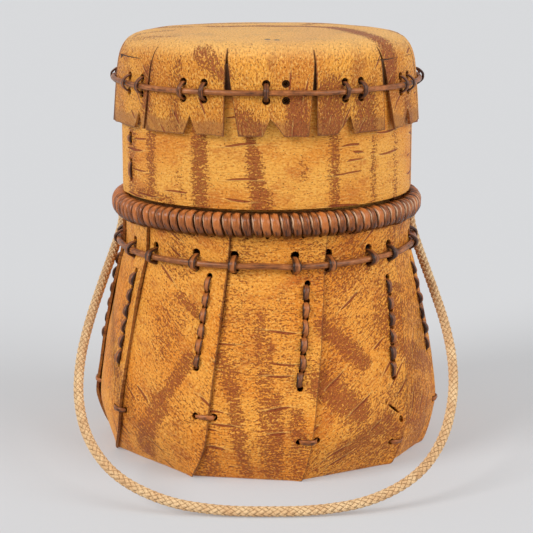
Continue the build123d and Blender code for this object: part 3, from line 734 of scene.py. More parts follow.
def barkRadius(gore, share, height):
    left, right = seamAngle(gore, height), seamAngle(gore + 1, height)
    angle = left + (right - left) * share
    half = math.radians(right - left) / 2
    lap = body["lap"] * (1.0 - 0.4 * since(height, *body["lapThins"]))
    radius = softLine(body["profile"], height) + lap * (share - 0.5)
    flat = max(0.0, 1.0 - height / body["foldHeight"]) ** 1.4  # the foot is a polygon
    inFold = min(half, abs(math.radians(angle) - math.radians(left + right) / 2))
    radius *= 1.0 + (math.cos(half) / math.cos(inFold) - 1.0) * flat
    free = 1.0 - since(height, *body["bound"])  # the neck's binding holds the sheet round
    wave = ripple(angle * 1.5, height, gore, 24.0) + 0.4 * ripple(angle * 1.5, height, gore + 20, 8.0)
    radius += body["unevenness"] * wave * free
    curl = 0.7 + 0.6 * ripple(height, 0.0, gore + 40, 16.0)
    radius += body["curl"] * since(share, *body["curls"]) * curl * (0.4 + 0.6 * free)
    return angle, radius


def barkPoint(gore, share, height, lift=0.0):
    angle, radius = barkRadius(gore, share, height)
    return place(angle, radius + lift, height)


def barkNormal(gore, share, height):
    across = barkPoint(gore, share + 0.02, height) - barkPoint(gore, share - 0.02, height)
    up = barkPoint(gore, share, height + 1.5) - barkPoint(gore, share, height - 1.5)
    return across.cross(up).normalized()


def goreShare(azimuth, height):
    gore = -gores
    while seamAngle(gore + 1, height) <= azimuth:
        gore += 1
    left, right = seamAngle(gore, height), seamAngle(gore + 1, height)
    return gore, (azimuth - left) / (right - left)


def peg(point, direction, radius, length, sides=12):  # a punch, round or (half length, half width, tilt)
    long, wide, tilt = radius if isinstance(radius, tuple) else (radius, radius, 0.0)
    level = Vector((-direction.y, direction.x, 0.0)).normalized()
    tilt = math.radians(tilt)
    side = level * math.cos(tilt) + direction.cross(level) * math.sin(tilt)
    up = direction.cross(side)
    vertices = []
    for end in (-0.5, 0.5):
        for k in range(sides):
            turn = 2 * math.pi * k / sides
            rim = (side * long * math.cos(turn) + up * wide * math.sin(turn)) * mm
            vertices.append(point + direction * length * end * mm + rim)
    faces = [(k, (k + 1) % sides, sides + (k + 1) % sides, sides + k) for k in range(sides)]
    faces += [tuple(reversed(range(sides))), tuple(range(sides, 2 * sides))]
    return vertices, faces


def punch(obj, pegs):  # real holes through a sheet
    vertices, faces = [], []
    for one in pegs:
        more, sides = peg(*one)
        faces += [tuple(i + len(vertices) for i in face) for face in sides]
        vertices += more
    cutter = newObject("punches", vertices, faces)
    modifier = obj.modifiers.new("holes", "BOOLEAN")
    modifier.operation = "DIFFERENCE"
    modifier.solver = "MANIFOLD"
    modifier.object = cutter
    bakeModifiers(obj)
    bpy.data.objects.remove(cutter, do_unlink=True)


def sheetGrid(name, columns, rows, pointAt, thickness, pegs):
    vertices = [pointAt(i, j) for j in range(rows + 1) for i in range(columns + 1)]
    wide = columns + 1
    faces = [(j * wide + i, j * wide + i + 1, (j + 1) * wide + i + 1, (j + 1) * wide + i)
             for j in range(rows) for i in range(columns)]
    obj = newObject(name, vertices, faces)
    thicken(obj, thickness)
    punch(obj, pegs)
    return obj


# Rows of stitches, tacks and ties share these places with the punched holes
rootRows = {
    "share": 0.82, "holes": 7, "top": 106.0, "hole": 1.65, "holeShift": (0.008, -0.4),
    "drops": [4.0, 7.0, 9.5, 7.0, 5.0, 8.0, 6.0, 6.5, 8.0],
    "pitches": [7.4, 8.3, 8.1, 7.8, 8.2, 8.0, 7.6, 8.1, 8.0],
    "Width": 3.4, "Thickness": 2.2, "Steps": 13, "Taper": 0.25, "Wobble": 0.2, "Unevenness": 0.35, "Seed": 3,
}
footTacks = {
    "heights": [28.0, 34.0, 22.5, 14.0, 25.0, 30.0, 20.0, 27.0, 31.0], "left": 7.6, "right": 2.9, "hole": 1.8,
    "Width": 2.4, "Thickness": 1.5, "Steps": 14, "Taper": 0.35, "Wobble": 0.18, "Unevenness": 0.3, "Seed": 5,
}
neckWithy = {
    "height": 108.7, "stem": 3.2, "sag": 1.2, "overlap": 2.7, "Width": 3.2, "Thickness": 3.2, "Steps": 260,
    "Taper": 0.15, "Wobble": 0.32, "Wobble Size": 22.0, "Unevenness": 0.1, "Seed": 8,
}
neckTies = {
    "left": [10.0, 13.0, 11.5, 16.0, 1.8, 12.0, 14.0, 12.5, 15.0],
    "right": [4.7, 2.2, 1.9, -4.1, 14.0, 2.7, 2.7, 2.7, -3.2], "reach": 3.6, "hole": 2.25,
    "Width": 4.2, "Thickness": 1.6, "Steps": 20, "Taper": 0.1, "Wobble": 0.12, "Unevenness": 0.2, "Seed": 11,
}
rimHoles = {"count": 52, "height": 121.6, "hole": 1.0}
punchLengths = {"deep": 9.0, "shallow": 5.0}
tieAngles = []
for seam in range(gores):
    seamHere = seamAngle(seam, neckWithy["height"])
    tieAngles += [seamHere - neckTies["left"][seam], seamHere + neckTies["right"][seam]]
withyRing = max(barkRadius(g, s, neckWithy["height"])[1] for g in range(gores) for s in (0.5, 0.9, 1.0))
withyRing += neckWithy["stem"] / 2 - 0.1


def rowHoles(gore):
    for i in range(rootRows["holes"]):
        yield rootRows["top"] - rootRows["drops"][gore] - rootRows["pitches"][gore] * i


def tackEnds(seam):
    height = footTacks["heights"][seam]
    span = math.radians(360.0 / gores) * softLine(body["profile"], height)
    return [(seam - 1, 1.0 - footTacks["left"] / span, height), (seam, footTacks["right"] / span, height)]


def punchPlaces():  # gore, share, height, radius and length of each hole in the body but the rope's
    deep, shallow = punchLengths["deep"], punchLengths["shallow"]
    along, rise = rootRows["holeShift"]
    for gore in range(gores):
        for height in rowHoles(gore):
            yield gore, rootRows["share"] + along, height + rise, rootRows["hole"], deep
        for end in tackEnds(gore):
            yield *end, footTacks["hole"], deep
    for angle in tieAngles:
        for side in (-1, 1):
            height = neckWithy["height"] + side * neckTies["reach"]
            yield *goreShare(angle, height), height, neckTies["hole"], deep
    for k in range(rimHoles["count"]):
        angle = -180.0 + 360.0 * (k + 0.3 * ripple(k, 0.0, 51, 0.7)) / rimHoles["count"]
        gore, share = goreShare(angle, rimHoles["height"])
        if 0.05 < share < 0.95:
            yield gore, share, rimHoles["height"] + 0.5 * ripple(k, 0.0, 52, 0.7), rimHoles["hole"], shallow
    for angle, height, radius in body["tears"]:
        yield *goreShare(angle, height), height, radius, shallow


def ropePeg(x):
    centre = Vector((x, ropeHole["y"], ropeHole["z"])) * mm
    return centre, Vector((1.0, 0.0, 0.0)), ropeHole["radius"], ropeHole["punch"]


def ropePegs(gore):  # where the rope goes through one fold at the neck
    pegs = []
    for side in (-1, 1):
        azimuth = side * (90.0 + math.degrees(math.asin(ropeHole["y"] / ropeHole["neck"])))
        for turned in (azimuth, azimuth + 360):
            first, _ = goreShare(turned, ropeHole["z"])
            for k in (first, first + 1):
                left, right = seamAngle(k, ropeHole["z"]), seamAngle(k + 1, ropeHole["z"])
                if k % gores == gore and -0.12 < (turned - left) / (right - left) < 1.05:
                    pegs.append(ropePeg(side * ropeHole["inBody"]))
    return pegs


def goreSheet(gore):
    columns, rows, foot = body["columns"], body["rows"], body["footLevels"]
    steps = rows + 1 - len(foot)
    levels = foot + [foot[-1] + (body["top"] - foot[-1]) * k / steps for k in range(1, steps + 1)]

    def pointAt(i, j):
        height = levels[j]
        span = math.radians(360.0 / gores) * softLine(body["profile"], height)
        tuck = body["tuck"] / span
        return barkPoint(gore, -tuck + (1.0 + tuck) * i / columns, height)

    pegs = []
    for k, share, height, radius, length in punchPlaces():
        if k % gores == gore and -0.12 < share < 1.02:
            centre = barkPoint(gore, share, height, -0.7)
            pegs.append((centre, barkNormal(gore, share, height), radius, length))
    return sheetGrid("gore", columns, rows, pointAt, body["thickness"], pegs + ropePegs(gore))


def paintSheet(obj, uvAt, **layers):  # the sheet's own map, and as attributes its painted wear and tint, painted highlight and painted shade
    mesh = obj.data
    layer = mesh.uv_layers.new(name="sheet")
    corners = [uvAt(v.co / mm) for v in mesh.vertices]
    for loop in mesh.loops:
        u, v = corners[loop.vertex_index]
        layer.data[loop.index].uv = (u * mm, v * mm)
    for name in ("scuff", "tip", "bleach", "edge", "grime"):
        valueAt = layers.get(name)
        values = mesh.attributes.new(name, "FLOAT", "POINT")
        values.data.foreach_set("value", [valueAt(v.co / mm) if valueAt else 0.0 for v in mesh.vertices])


strokeEdge = {"from": 0.45, "over": 1.25}  # a painted stroke fades out there, in its half widths


def strokeValue(strokes, azimuth, height, radius):  # the strongest painted stroke at a place
    strongest = 0.0
    outside = strokeEdge["from"] + strokeEdge["over"]
    perDegree = math.radians(1.0) * radius
    for a0, z0, a1, z1, wide, strength in strokes:
        px, py = ((azimuth - a0 + 180.0) % 360.0 - 180.0) * perDegree, height - z0
        qx, qy = ((a1 - a0 + 180.0) % 360.0 - 180.0) * perDegree, z1 - z0
        t = min(1.0, max(0.0, (px * qx + py * qy) / max(qx * qx + qy * qy, 1e-6)))
        away = math.hypot(px - t * qx, py - t * qy) / wide
        if away < outside:
            strongest = max(strongest, strength * (1.0 - since(away, strokeEdge["from"], strokeEdge["over"])))
    return strongest


# Scuffs: from azimuth and height to azimuth and height, half width, strength
bodyScuffs = [
    (-33, 91, -25, 83, 2.6, 0.62), (-27, 61, -37, 36, 4.2, 0.62), (-37, 36, -47, 10, 7.0, 0.62),
    (-60, 46, -53, 38, 5.0, 0.45), (-15, 98, -15, 64, 2.5, 0.38), (-15, 63, -11, 48, 4.5, 0.6),
    (-11, 48, -7, 5, 3.6, 0.62), (-2, 84, -2, 62, 3.4, 0.52), (-1, 55, 1, 5, 4.6, 0.5),
    (-18.8, 16, -19, 4, 5.5, 0.5), (1, 75, 1, 56, 2.4, 0.5), (2.5, 44, 3, 6, 4.2, 0.58),
    (9.5, 36, 10, 25, 4.5, 0.55), (10, 20, 11, 4, 4.5, 0.5), (6, 94, 6, 60, 3.0, 0.32),
    (20, 78, 34, 58, 4.8, 0.68), (18, 50, 31, 34, 7.6, 0.68), (26, 14, 42, 26, 6.0, 0.62),
    (42, 26, 52, 8, 6.0, 0.55), (20, 98, 36, 92, 9.0, 0.36), (51, 91, 61, 88, 3.0, 0.55),
    (49, 78, 60, 77, 3.6, 0.5), (52, 62, 75, 44, 5.5, 0.6), (54, 26, 70, 12, 6.5, 0.6),
    # The stroke from 60 degrees, 34 mm to 68 degrees, 8 mm is painted shade in the lower right, drawn as a
    # scuff
    (60, 100, 72, 96, 4.0, 0.4), (60, 34, 68, 8, 9.0, 0.56), (58, 52, 72, 46, 6.0, 0.56),
    (66, 70, 80, 66, 5.0, 0.45), (-64, 80, -60, 60, 4.0, 0.4),
    (-56, 20, -60, 6, 5.0, 0.45), (-40, 104, -30, 100, 3.5, 0.35), (14, 118, 20, 112, 8.0, 0.35),
]
wallScuffs = [
    (-25.5, 176, -25.3, 136, 4.2, 0.62), (-6.5, 176, -4.5, 160, 2.6, 0.66), (-4.5, 160, -2.6, 136, 4.0, 0.64),
    (-49, 168, -49, 140, 3.6, 0.56), (-63, 166, -64, 140, 5.0, 0.5), (-58, 139, -38, 137, 2.4, 0.5),
    (25.8, 170, 26, 136, 2.8, 0.56), (44, 168, 44.5, 136, 1.8, 0.46), (58, 168, 58.5, 136, 2.2, 0.4),
    (0.2, 143, 0.3, 136, 2.6, 0.55), (13, 160, 14, 150, 1.8, 0.4), (-35, 152, -33, 140, 1.8, 0.36),
]
capScuffs = [  # in place of the height, the distance from the lid's middle along the sheet
    (-25, 74, -15, 84, 5.0, 0.5), (-48, 84, -49, 102, 4.0, 0.55), (-9, 104, -2, 114, 6.0, 0.5),
    (11, 96, 11, 118, 5.5, 0.62), (24, 92, 24, 118, 8.0, 0.56), (38, 96, 38.6, 118, 7.0, 0.56),
    (55, 68, 52, 86, 6.0, 0.66), (-34, 78, -35, 110, 3.0, 0.4), (64, 90, 66, 116, 6.0, 0.4),
    (-70, 70, -52, 60, 3.0, 0.4),
]
lidTopScuffs = [  # across the flat top: x, y, x, y
    (-30, 19, -2, 21, 4.4, 0.56), (-2, 21, 20, 19, 5.0, 0.66), (20, 19, 33, 13, 5.2, 0.7),
    (33, 13, 41, -2, 5.0, 0.7), (41, -2, 47, -22, 4.8, 0.7), (47, -22, 56, -42, 4.6, 0.72),
    (-66, -14, -48, -4, 2.6, 0.5), (-50, 38, -10, 46, 3.0, 0.5),
    (-10, 46, 12, 60, 3.4, 0.5), (24, 44, 58, 32, 3.0, 0.5),
    (-62, 16, -54, 30, 2.6, 0.5), (6, -14, 16, -12, 1.8, 0.36),
]


def wearBack():  # the sides and back wear the same way, at places left to chance
    random.seed(41)
    for k in range(34):
        azimuth, height = random.uniform(82, 278), random.uniform(2, 112)
        bodyScuffs.append((
            azimuth, height, azimuth + random.uniform(-6, 10), height + random.uniform(-28, 28),
            random.uniform(2.5, 6.5), random.uniform(0.42, 0.66)))
    for k in range(13):
        azimuth = random.uniform(76, 288)
        wallScuffs.append((azimuth, 176, azimuth + random.uniform(-2, 2), 136,
                           random.uniform(1.6, 4.6), random.uniform(0.42, 0.64)))
    for k in range(16):
        azimuth = random.uniform(76, 284)
        capScuffs.append((azimuth, random.uniform(40, 92), azimuth + random.uniform(-3, 3), 116,
                          random.uniform(2.5, 7.0), random.uniform(0.4, 0.6)))


wearBack()


def bodyUv(gore):  # each fold shows the sheet turned with its own direction
    middle = (seamAngle(gore, body["uvLevel"]) + seamAngle(gore + 1, body["uvLevel"])) / 2
    turn = math.radians(middle)

    def uvAt(p):
        s = math.radians(folded(azimuthOf(p) - middle)) * math.hypot(p.x, p.y)
        h = body["footRadius"] + p.z
        return math.cos(turn) * s + math.sin(turn) * h, math.sin(turn) * s - math.cos(turn) * h
    return uvAt


bodyWear = {"all": 0.22, "vary": 0.28, "size": 22.0, "right": 0.12, "from": 14.0, "to": 100.0, "soft": 12.0,
            "strokes": 0.93}


def bodyScuffAt(p):  # a little wear everywhere, more at the right, and the strokes
    angle = azimuthOf(p)
    worn = bodyWear["all"] + bodyWear["vary"] * ripple(angle * 1.5, p.z, 45, bodyWear["size"])
    onRight = since(angle, bodyWear["from"], bodyWear["soft"])
    onRight *= ease((bodyWear["to"] - angle) / bodyWear["soft"])
    strokes = strokeValue(bodyScuffs, angle, p.z, math.hypot(p.x, p.y))
    return max(worn + bodyWear["right"] * onRight, bodyWear["strokes"] * strokes)


def nearSeam(gore, side):  # 1 on the seam at one side of a fold, falling to 0 over 4 mm
    def value(p):
        off = math.radians(folded(azimuthOf(p) - seamAngle(gore + side, p.z))) * math.hypot(p.x, p.y)
        return max(0.0, 1.0 - abs(off) / 4.0)
    return value


def seamAndRimShade(gore):  # painted shade along the seam and in the corner under the rim
    alongSeam = nearSeam(gore, 0)

    def value(p):
        underRim = ease((p.z - 117.0 + 2.0 * ripple(azimuthOf(p), 0.0, 27, 5.0)) / 6.0)
        return max(alongSeam(p), 0.9 * underRim)
    return value


footDisc = {
    "rings": 14, "sides": 72, "inset": 0.7, "level": 0.5, "height": 0.7, "thickness": 1.0, "worn": 0.3,
    "crease": 0.105, "creaseTurn": 68.0, "creaseTwist": 0.05,
}


def footSheet():  # flat bottom inside the nine folds
    rings, sides = footDisc["rings"], footDisc["sides"]
    level = footDisc["level"]
    vertices, faces = [Vector((0.0, 0.0, level)) * mm], []
    for r in range(1, rings + 1):
        for k in range(sides):
            azimuth = 360.0 * k / sides
            radius = (barkRadius(*goreShare(azimuth, level), level)[1] - footDisc["inset"]) * r / rings
            turn = math.radians(azimuth + footDisc["creaseTurn"]) * gores + radius * footDisc["creaseTwist"]
            fold = math.cos(turn) * (r / rings) ** 0.5
            vertices.append(place(azimuth, radius, footDisc["height"] + footDisc["crease"] * fold))
    for k in range(sides):
        faces.append((0, 1 + (k + 1) % sides, 1 + k))
        for r in range(rings - 1):
            a, b = 1 + r * sides + k, 1 + r * sides + (k + 1) % sides
            faces.append((a, b, b + sides, a + sides))
    obj = newObject("foot", vertices, faces)
    work = bmesh.new()
    work.from_mesh(obj.data)
    for face in work.faces:
        if face.normal.z > 0:
            face.normal_flip()
    work.to_mesh(obj.data)
    work.free()
    thicken(obj, footDisc["thickness"])
    return obj


sheets = []
for gore in range(gores):
    sheet = goreSheet(gore)
    # The lapping fold's cut edge is darkened, partly its own colour and partly painted shade; painted shade
    # also lies along the seam it covers and under the rim
    paintSheet(sheet, bodyUv(gore), scuff=bodyScuffAt, edge=nearSeam(gore, 1), grime=seamAndRimShade(gore))
    sheets.append(sheet)
foot = footSheet()
paintSheet(foot, lambda p: (p.x, p.y), scuff=lambda p: footDisc["worn"])
barkBody = joinObjects("barkBody", sheets + [foot])
finishSheet(barkBody, bodyBark)
print("stage: bark body folded")


# Root stitches beside the seams, and a tack across each seam at the foot
def seamStitchPaths():
    random.seed(5)
    paths = []
    for gore in range(gores):
        heights = list(rowHoles(gore))
        for a, b in zip(heights, heights[1:]):
            sway = random.uniform(-0.006, 0.006)
            path = []
            for t, lift in ((0.07, -2.2), (0.1, -0.4), (0.26, 0.9), (0.52, 1.25), (0.76, 0.9), (0.93, -0.4),
                            (0.97, -2.2)):
                share = rootRows["share"] + sway * math.sin(math.pi * t) * 2
                height = a - 0.5 + (b - a) * t
                path.append((barkPoint(gore, share, height, lift), barkNormal(gore, share, height)))
            paths.append(path)
    return paths


def tackPaths():
    paths = []
    for seam in range(gores):
        holes = tackEnds(seam)
        start, end = (barkPoint(*hole) for hole in holes)
        normal = (barkNormal(*holes[0]) + barkNormal(*holes[1])).normalized()
        path = []
        for t, lift in ((0.0, -2.4), (0.02, 0.0), (0.15, 1.1), (0.5, 1.9), (0.72, 2.1), (0.9, 1.4),
                        (1.0, 0.2), (1.0, -2.2)):
            path.append((start.lerp(end, t) + normal * lift * mm, normal))
        paths.append(path)
    return paths


# A withy's two ends lie side by side at the back
withyEnds = {"from": -182.0, "to": 186.0, "points": 120, "overlapFrom": 176.0, "overlapOver": 10.0}


def withyPath(radiusAt, heightAt):
    path = []
    for k in range(withyEnds["points"] + 1):
        azimuth = withyEnds["from"] + (withyEnds["to"] - withyEnds["from"]) * k / withyEnds["points"]
        path.append((place(azimuth, radiusAt(azimuth), heightAt(azimuth)), outwardAt(azimuth)))
    return path


def overlapAt(azimuth):
    return since(azimuth, withyEnds["overlapFrom"], withyEnds["overlapOver"])


def neckWithyRadius(azimuth):
    return withyRing + 0.25 * ripple(azimuth, 0.0, 3, 30.0) + neckWithy["overlap"] * overlapAt(azimuth)


def neckWithyHeight(azimuth):
    sag = neckWithy["sag"] * (0.5 + 0.5 * math.cos(math.radians(azimuth)))
    return neckWithy["height"] - sag + 0.7 * ripple(azimuth, 0.0, 9, 38.0)


def tiePath(surface, stem, stemHeight, azimuth, reach, half):  # from one hole round the stem to the other
    path = []
    for radial, rise in ((surface - 2.6, reach - 0.2), (surface + 0.2, reach),
                         (stem + half * 0.3, reach * 0.72), (stem + half + 0.5, reach * 0.34),
                         (stem + half + 0.65, 0.0), (stem + half + 0.5, -reach * 0.34),
                         (stem + half * 0.3, -reach * 0.72), (surface + 0.2, -reach),
                         (surface - 2.6, -reach + 0.2)):
        tilt = math.radians(90.0) * rise / reach
        outward = (outwardAt(azimuth) * math.cos(tilt) + Vector((0, 0, math.sin(tilt)))).normalized()
        path.append((place(azimuth, radial, stemHeight + rise), outward))
    return path


def neckTiePaths():
    paths = []
    for azimuth in tieAngles:
        surface = barkRadius(*goreShare(azimuth, neckWithy["height"]), neckWithy["height"])[1]
        turned = folded(azimuth)
        stem, height = neckWithyRadius(turned), neckWithyHeight(turned)
        paths.append(tiePath(surface, stem, height, azimuth, neckTies["reach"], neckWithy["stem"] / 2))
    return paths


seamStitches = makeStrands("seamStitches", seamStitchPaths(), rootRows, rootSkin)
tacks = makeStrands("rootTacks", tackPaths(), footTacks, rootSkin)
withyAtNeck = makeStrands("neckWithy", [withyPath(neckWithyRadius, neckWithyHeight)], neckWithy, withySkin)
tiesAtNeck = makeStrands("neckTies", neckTiePaths(), neckTies, rootSkin)
print("stage: root stitches, tacks and neck withy set")


# Rim wound with split root; each turn leans to the left as it climbs
rim = {
    "turns": 104, "lean": 10.0, "middle": 128.0,
    "section": [(73.2, 124.5), (73.0, 130.6), (74.0, 132.3), (76.2, 132.5), (78.2, 131.8), (79.35, 130.2),
                (79.65, 128.2), (79.5, 126.0), (78.9, 124.4), (77.8, 123.3), (76.2, 122.4), (74.6, 121.9),
                (72.4, 121.8)],
    "Width": 4.7, "Thickness": 2.4, "Steps": 24, "Taper": 0.5, "Wobble": 0.14, "Wobble Size": 4.0,
    "Unevenness": 0.12, "Seed": 21,
}


def rimPaths():
    random.seed(8)
    paths, section = [], rim["section"]
    lean = math.tan(math.radians(rim["lean"]))
    for k in range(rim["turns"]):
        azimuth = 360.0 * (k + random.uniform(-0.07, 0.07)) / rim["turns"]
        droop = random.uniform(-0.5, 0.35)
        path = []
        for i, (r, z) in enumerate(section):
            before, after = section[max(i - 1, 0)], section[min(i + 1, len(section) - 1)]
            dr, dz = after[0] - before[0], after[1] - before[1]
            size = math.hypot(dr, dz)
            here = azimuth - math.degrees((z - rim["middle"]) * lean / r)
            outward = (outwardAt(here) * (-dz / size) + Vector((0.0, 0.0, dr / size))).normalized()
            path.append((place(here, r, z + droop * ease((127.0 - z) / 5.0)), outward))
        paths.append(path)
    return paths


rimBinding = makeStrands("rimBinding", rimPaths(), rim, rimSkin)
print("stage: rim wound")


# Collar and lid wall: rolled strips whose outer end laps over the inner one
strips = {
    "collar": {"seam": 64.0, "lap": 15.0, "radius": 71.4, "face": 71.4, "low": 113.9, "high": 211.6,
               "thickness": 1.4, "columns": 150, "rows": 20},
    "wall": {"seam": -75.0, "lap": 17.0, "radius": 75.45, "face": 75.4, "low": 135.2, "high": 205.2,
             "thickness": 1.5, "columns": 210, "rows": 34},
}


def rolledStrip(name, strip, pegs):
    total = 360.0 + strip["lap"]

    def pointAt(i, j):
        run = total * (i / strip["columns"])
        azimuth = strip["seam"] + run
        radius = strip["radius"] - (strip["thickness"] + 0.25) * ease((run - 338.0) / 22.0)
        radius += 0.25 * ripple(azimuth * 1.3, strip["low"], 60, 26.0) * ease((360.0 - run) / 30.0)
        lift = 0.5 * ease((4.0 - run) / 4.0)
        height = strip["low"] + (strip["high"] - strip["low"]) * j / strip["rows"]
        inward = 0.35 * ease((strip["low"] + 1.2 - height) / 1.2)
        return place(azimuth, radius + lift - inward, height)

    return sheetGrid(name, strip["columns"], strip["rows"], pointAt, strip["thickness"], pegs)


def stripUv(strip):  # the strip laid flat
    return lambda p: (strip["face"] * math.atan2(p.x, -p.y), p.z)


# Lid cap: a disc of bark turned down over the wall, slit into swallow-tailed flaps.
# A slit has its azimuth above and below and its width below; a notch its apex and two reaches.
cap = {
    "profile": [(0.0, 216.0), (24.0, 216.0), (46.0, 215.8), (60.0, 215.2), (66.0, 214.4), (70.5, 212.6),
                (73.4, 209.6), (75.2, 206.0), (76.2, 202.0), (76.8, 197.0), (77.4, 188.0), (77.8, 180.0),
                (78.0, 170.3)],
    "slitHeight": 212.2, "thickness": 1.15, "notchDepth": 8.8, "flapRadius": 77.8, "edgeRadius": 77.0,
    "slitTops": [-47.0, -15.0, 18.2, 48.0, 76.0, 110.0, 145.0, 178.0, 211.0, 245.0, 279.0],
    "slitBottoms": [-49.0, -12.4, 16.4, 50.0, 78.0, 111.0, 143.0, 179.5, 212.0, 243.0, 280.0],
    "slitWidths": [2.6, 7.2, 4.4, 8.4, 4.6, 2.0, 6.0, 3.0, 5.0, 2.0, 3.0],
    "notches": [-28.3, 1.6, 31.0, 64.7, 94.0, 128.0, 162.0, 195.0, 228.0, 262.0, 306.5],
    "notchLeft": [3.4, 3.8, 7.0, 6.5, 4.0, 3.5, 4.5, 4.0, 3.5, 4.0, 4.0],
    "notchRight": [4.2, 6.2, 2.6, 3.0, 3.5, 5.0, 3.5, 4.0, 4.5, 3.0, 3.4],
    "curl": 1.5, "unevenness": 0.35, "rows": 30, "columns": (6, 4, 4, 6), "rings": 26,
}


def smoothProfile(points, pieces=8):  # rounds a profile's corners
    result = []
    n = len(points)
    for i in range(n - 1):
        p0, p1, p2, p3 = points[max(i - 1, 0)], points[i], points[i + 1], points[min(i + 2, n - 1)]
        for k in range(pieces):
            t = k / pieces
            result.append(tuple(
                0.5 * (2 * b + (c - a) * t + (2 * a - 5 * b + 4 * c - d) * t * t
                       + (3 * b - a - 3 * c + d) * t**3)
                for a, b, c, d in zip(p0, p1, p2, p3)))
    result.append(points[-1])
    return result


def unroll(profile, pieces=3):  # the profile in short steps, with their distance along the sheet
    line = []
    for (r0, z0), (r1, z1) in zip(profile, profile[1:]):
        for k in range(pieces):
            line.append((r0 + (r1 - r0) * k / pieces, z0 + (z1 - z0) * k / pieces))
    line.append(profile[-1])
    run = [0.0]
    for a, b in zip(line, line[1:]):
        run.append(run[-1] + math.hypot(b[0] - a[0], b[1] - a[1]))
    return line, run


capLine, capRun = unroll(smoothProfile(cap["profile"]))
capEnd = capRun[-1]
capSlit = next(run for (r, z), run in zip(capLine, capRun) if z <= cap["slitHeight"])


def capSection(run):  # radius, height and outward direction at a distance along the sheet
    run = min(max(run, 0.0), capEnd)
    low, high = 0, len(capRun) - 1
    while high - low > 1:
        middle = (low + high) // 2
        low, high = (middle, high) if capRun[middle] <= run else (low, middle)
    t = (run - capRun[low]) / max(capRun[high] - capRun[low], 1e-9)
    a, b = capLine[low], capLine[high]
    normal = Vector((b[1] - a[1], a[0] - b[0])).normalized() * -1.0
    return a[0] + (b[0] - a[0]) * t, a[1] + (b[1] - a[1]) * t, normal


def capPoint(azimuth, run, lift=0.0):
    r, z, (nr, nz) = capSection(run)
    flat = outwardAt(azimuth) * run
    lift += cap["unevenness"] * ripple(flat.x, flat.y, 80, 22.0) * ease(run / 20.0)
    return place(azimuth, r + nr * lift, z + nz * lift)


lidTies = {
    "angles": [-27.0, 3.4, 32.8, 62.6, 95.0, 128.5, 161.5, 195.0, 228.0, 262.0, 303.0],
    "spreads": [4.2, 3.5, 3.5, 3.1, 4.0, 3.6, 4.1, 3.7, 4.0, 3.8, 4.7], "missing": 3,
    "height": 192.0, "reach": 4.0, "hole": 2.0, "holeInWall": 1.1, "inWall": 74.6, "half": 1.3,
    "Width": 2.7, "Thickness": 1.2, "Steps": 20, "Taper": 0.1, "Wobble": 0.16, "Unevenness": 0.2, "Seed": 31,
}
lidWithy = {
    "height": 192.0, "stem": 2.8, "overlap": 1.3, "Width": 2.7, "Thickness": 2.7, "Steps": 260, "Taper": 0.15,
    "Wobble": 0.28, "Wobble Size": 26.0, "Unevenness": 0.12, "Seed": 35,
}
lidTieAngles = [m + side * s for m, s in zip(lidTies["angles"], lidTies["spreads"]) for side in (-1, 1)]
lidFace = softLine(sorted((z, r) for r, z in cap["profile"][5:]), lidTies["height"])


def lidPegs(radius, length, hole):
    return [(place(a, radius, lidTies["height"] + side * lidTies["reach"]), outwardAt(a), hole, length)
            for a in lidTieAngles for side in (-1, 1)]


def flapTable():  # per flap: slit azimuths above and below, and its notch
    flaps = []
    count = len(cap["slitTops"])
    degrees = math.degrees(1.0) / cap["flapRadius"]
    for k in range(count):
        after = (k + 1) % count
        turn = 360.0 if after == 0 else 0.0
        top0, top1 = cap["slitTops"][k], cap["slitTops"][after] + turn
        low0 = cap["slitBottoms"][k] + cap["slitWidths"][k] / 2 * degrees
        low1 = cap["slitBottoms"][after] - cap["slitWidths"][after] / 2 * degrees + turn
        for apex, left, right in zip(cap["notches"], cap["notchLeft"], cap["notchRight"]):
            if low0 < apex < low1:
                flaps.append((top0, top1, low0, low1, apex, left * degrees, right * degrees))
    return flaps


flaps = flapTable()


def notchDepthAt(flap, azimuth):
    apex, left, right = flap[4:]
    away = (apex - azimuth) / left if azimuth < apex else (azimuth - apex) / right
    return max(0.0, 1.0 - away) * cap["notchDepth"]


def flapShares(flap):  # columns across a flap, one of them on each corner of its notch
    low0, low1, apex, left, right = flap[2:]
    marks = [low0, apex - left, apex, apex + right, low1]
    shares = []
    for a, b, n in zip(marks, marks[1:], cap["columns"]):
        shares += [(a + (b - a) * i / n - low0) / (low1 - low0) for i in range(n)]
    return shares + [1.0]


def flapPoint(k, share, t):  # share across the flap, and t down it from the slits' upper ends
    top0, top1, low0, low1 = flaps[k][:4]
    low = low0 + (low1 - low0) * share
    frayed = 1.2 * abs(ripple(share * 9.0, k, 3, 3.0))
    end = capEnd - 0.5 - notchDepthAt(flaps[k], low) - frayed
    run = capSlit + (end - capSlit) * t
    reach = min(1.0, (run - capSlit) / (capEnd - capSlit))
    azimuth = (top0 + (top1 - top0) * share) * (1 - reach) + low * reach
    corner = max(ease(1.0 - share / 0.22), ease((share - 0.78) / 0.22))
    lift = cap["curl"] * (0.35 * t**3 + corner * t**2 * (0.5 + 0.7 * ripple(k, share * 4, 5, 1.0)))
    return capPoint(azimuth, run, lift)


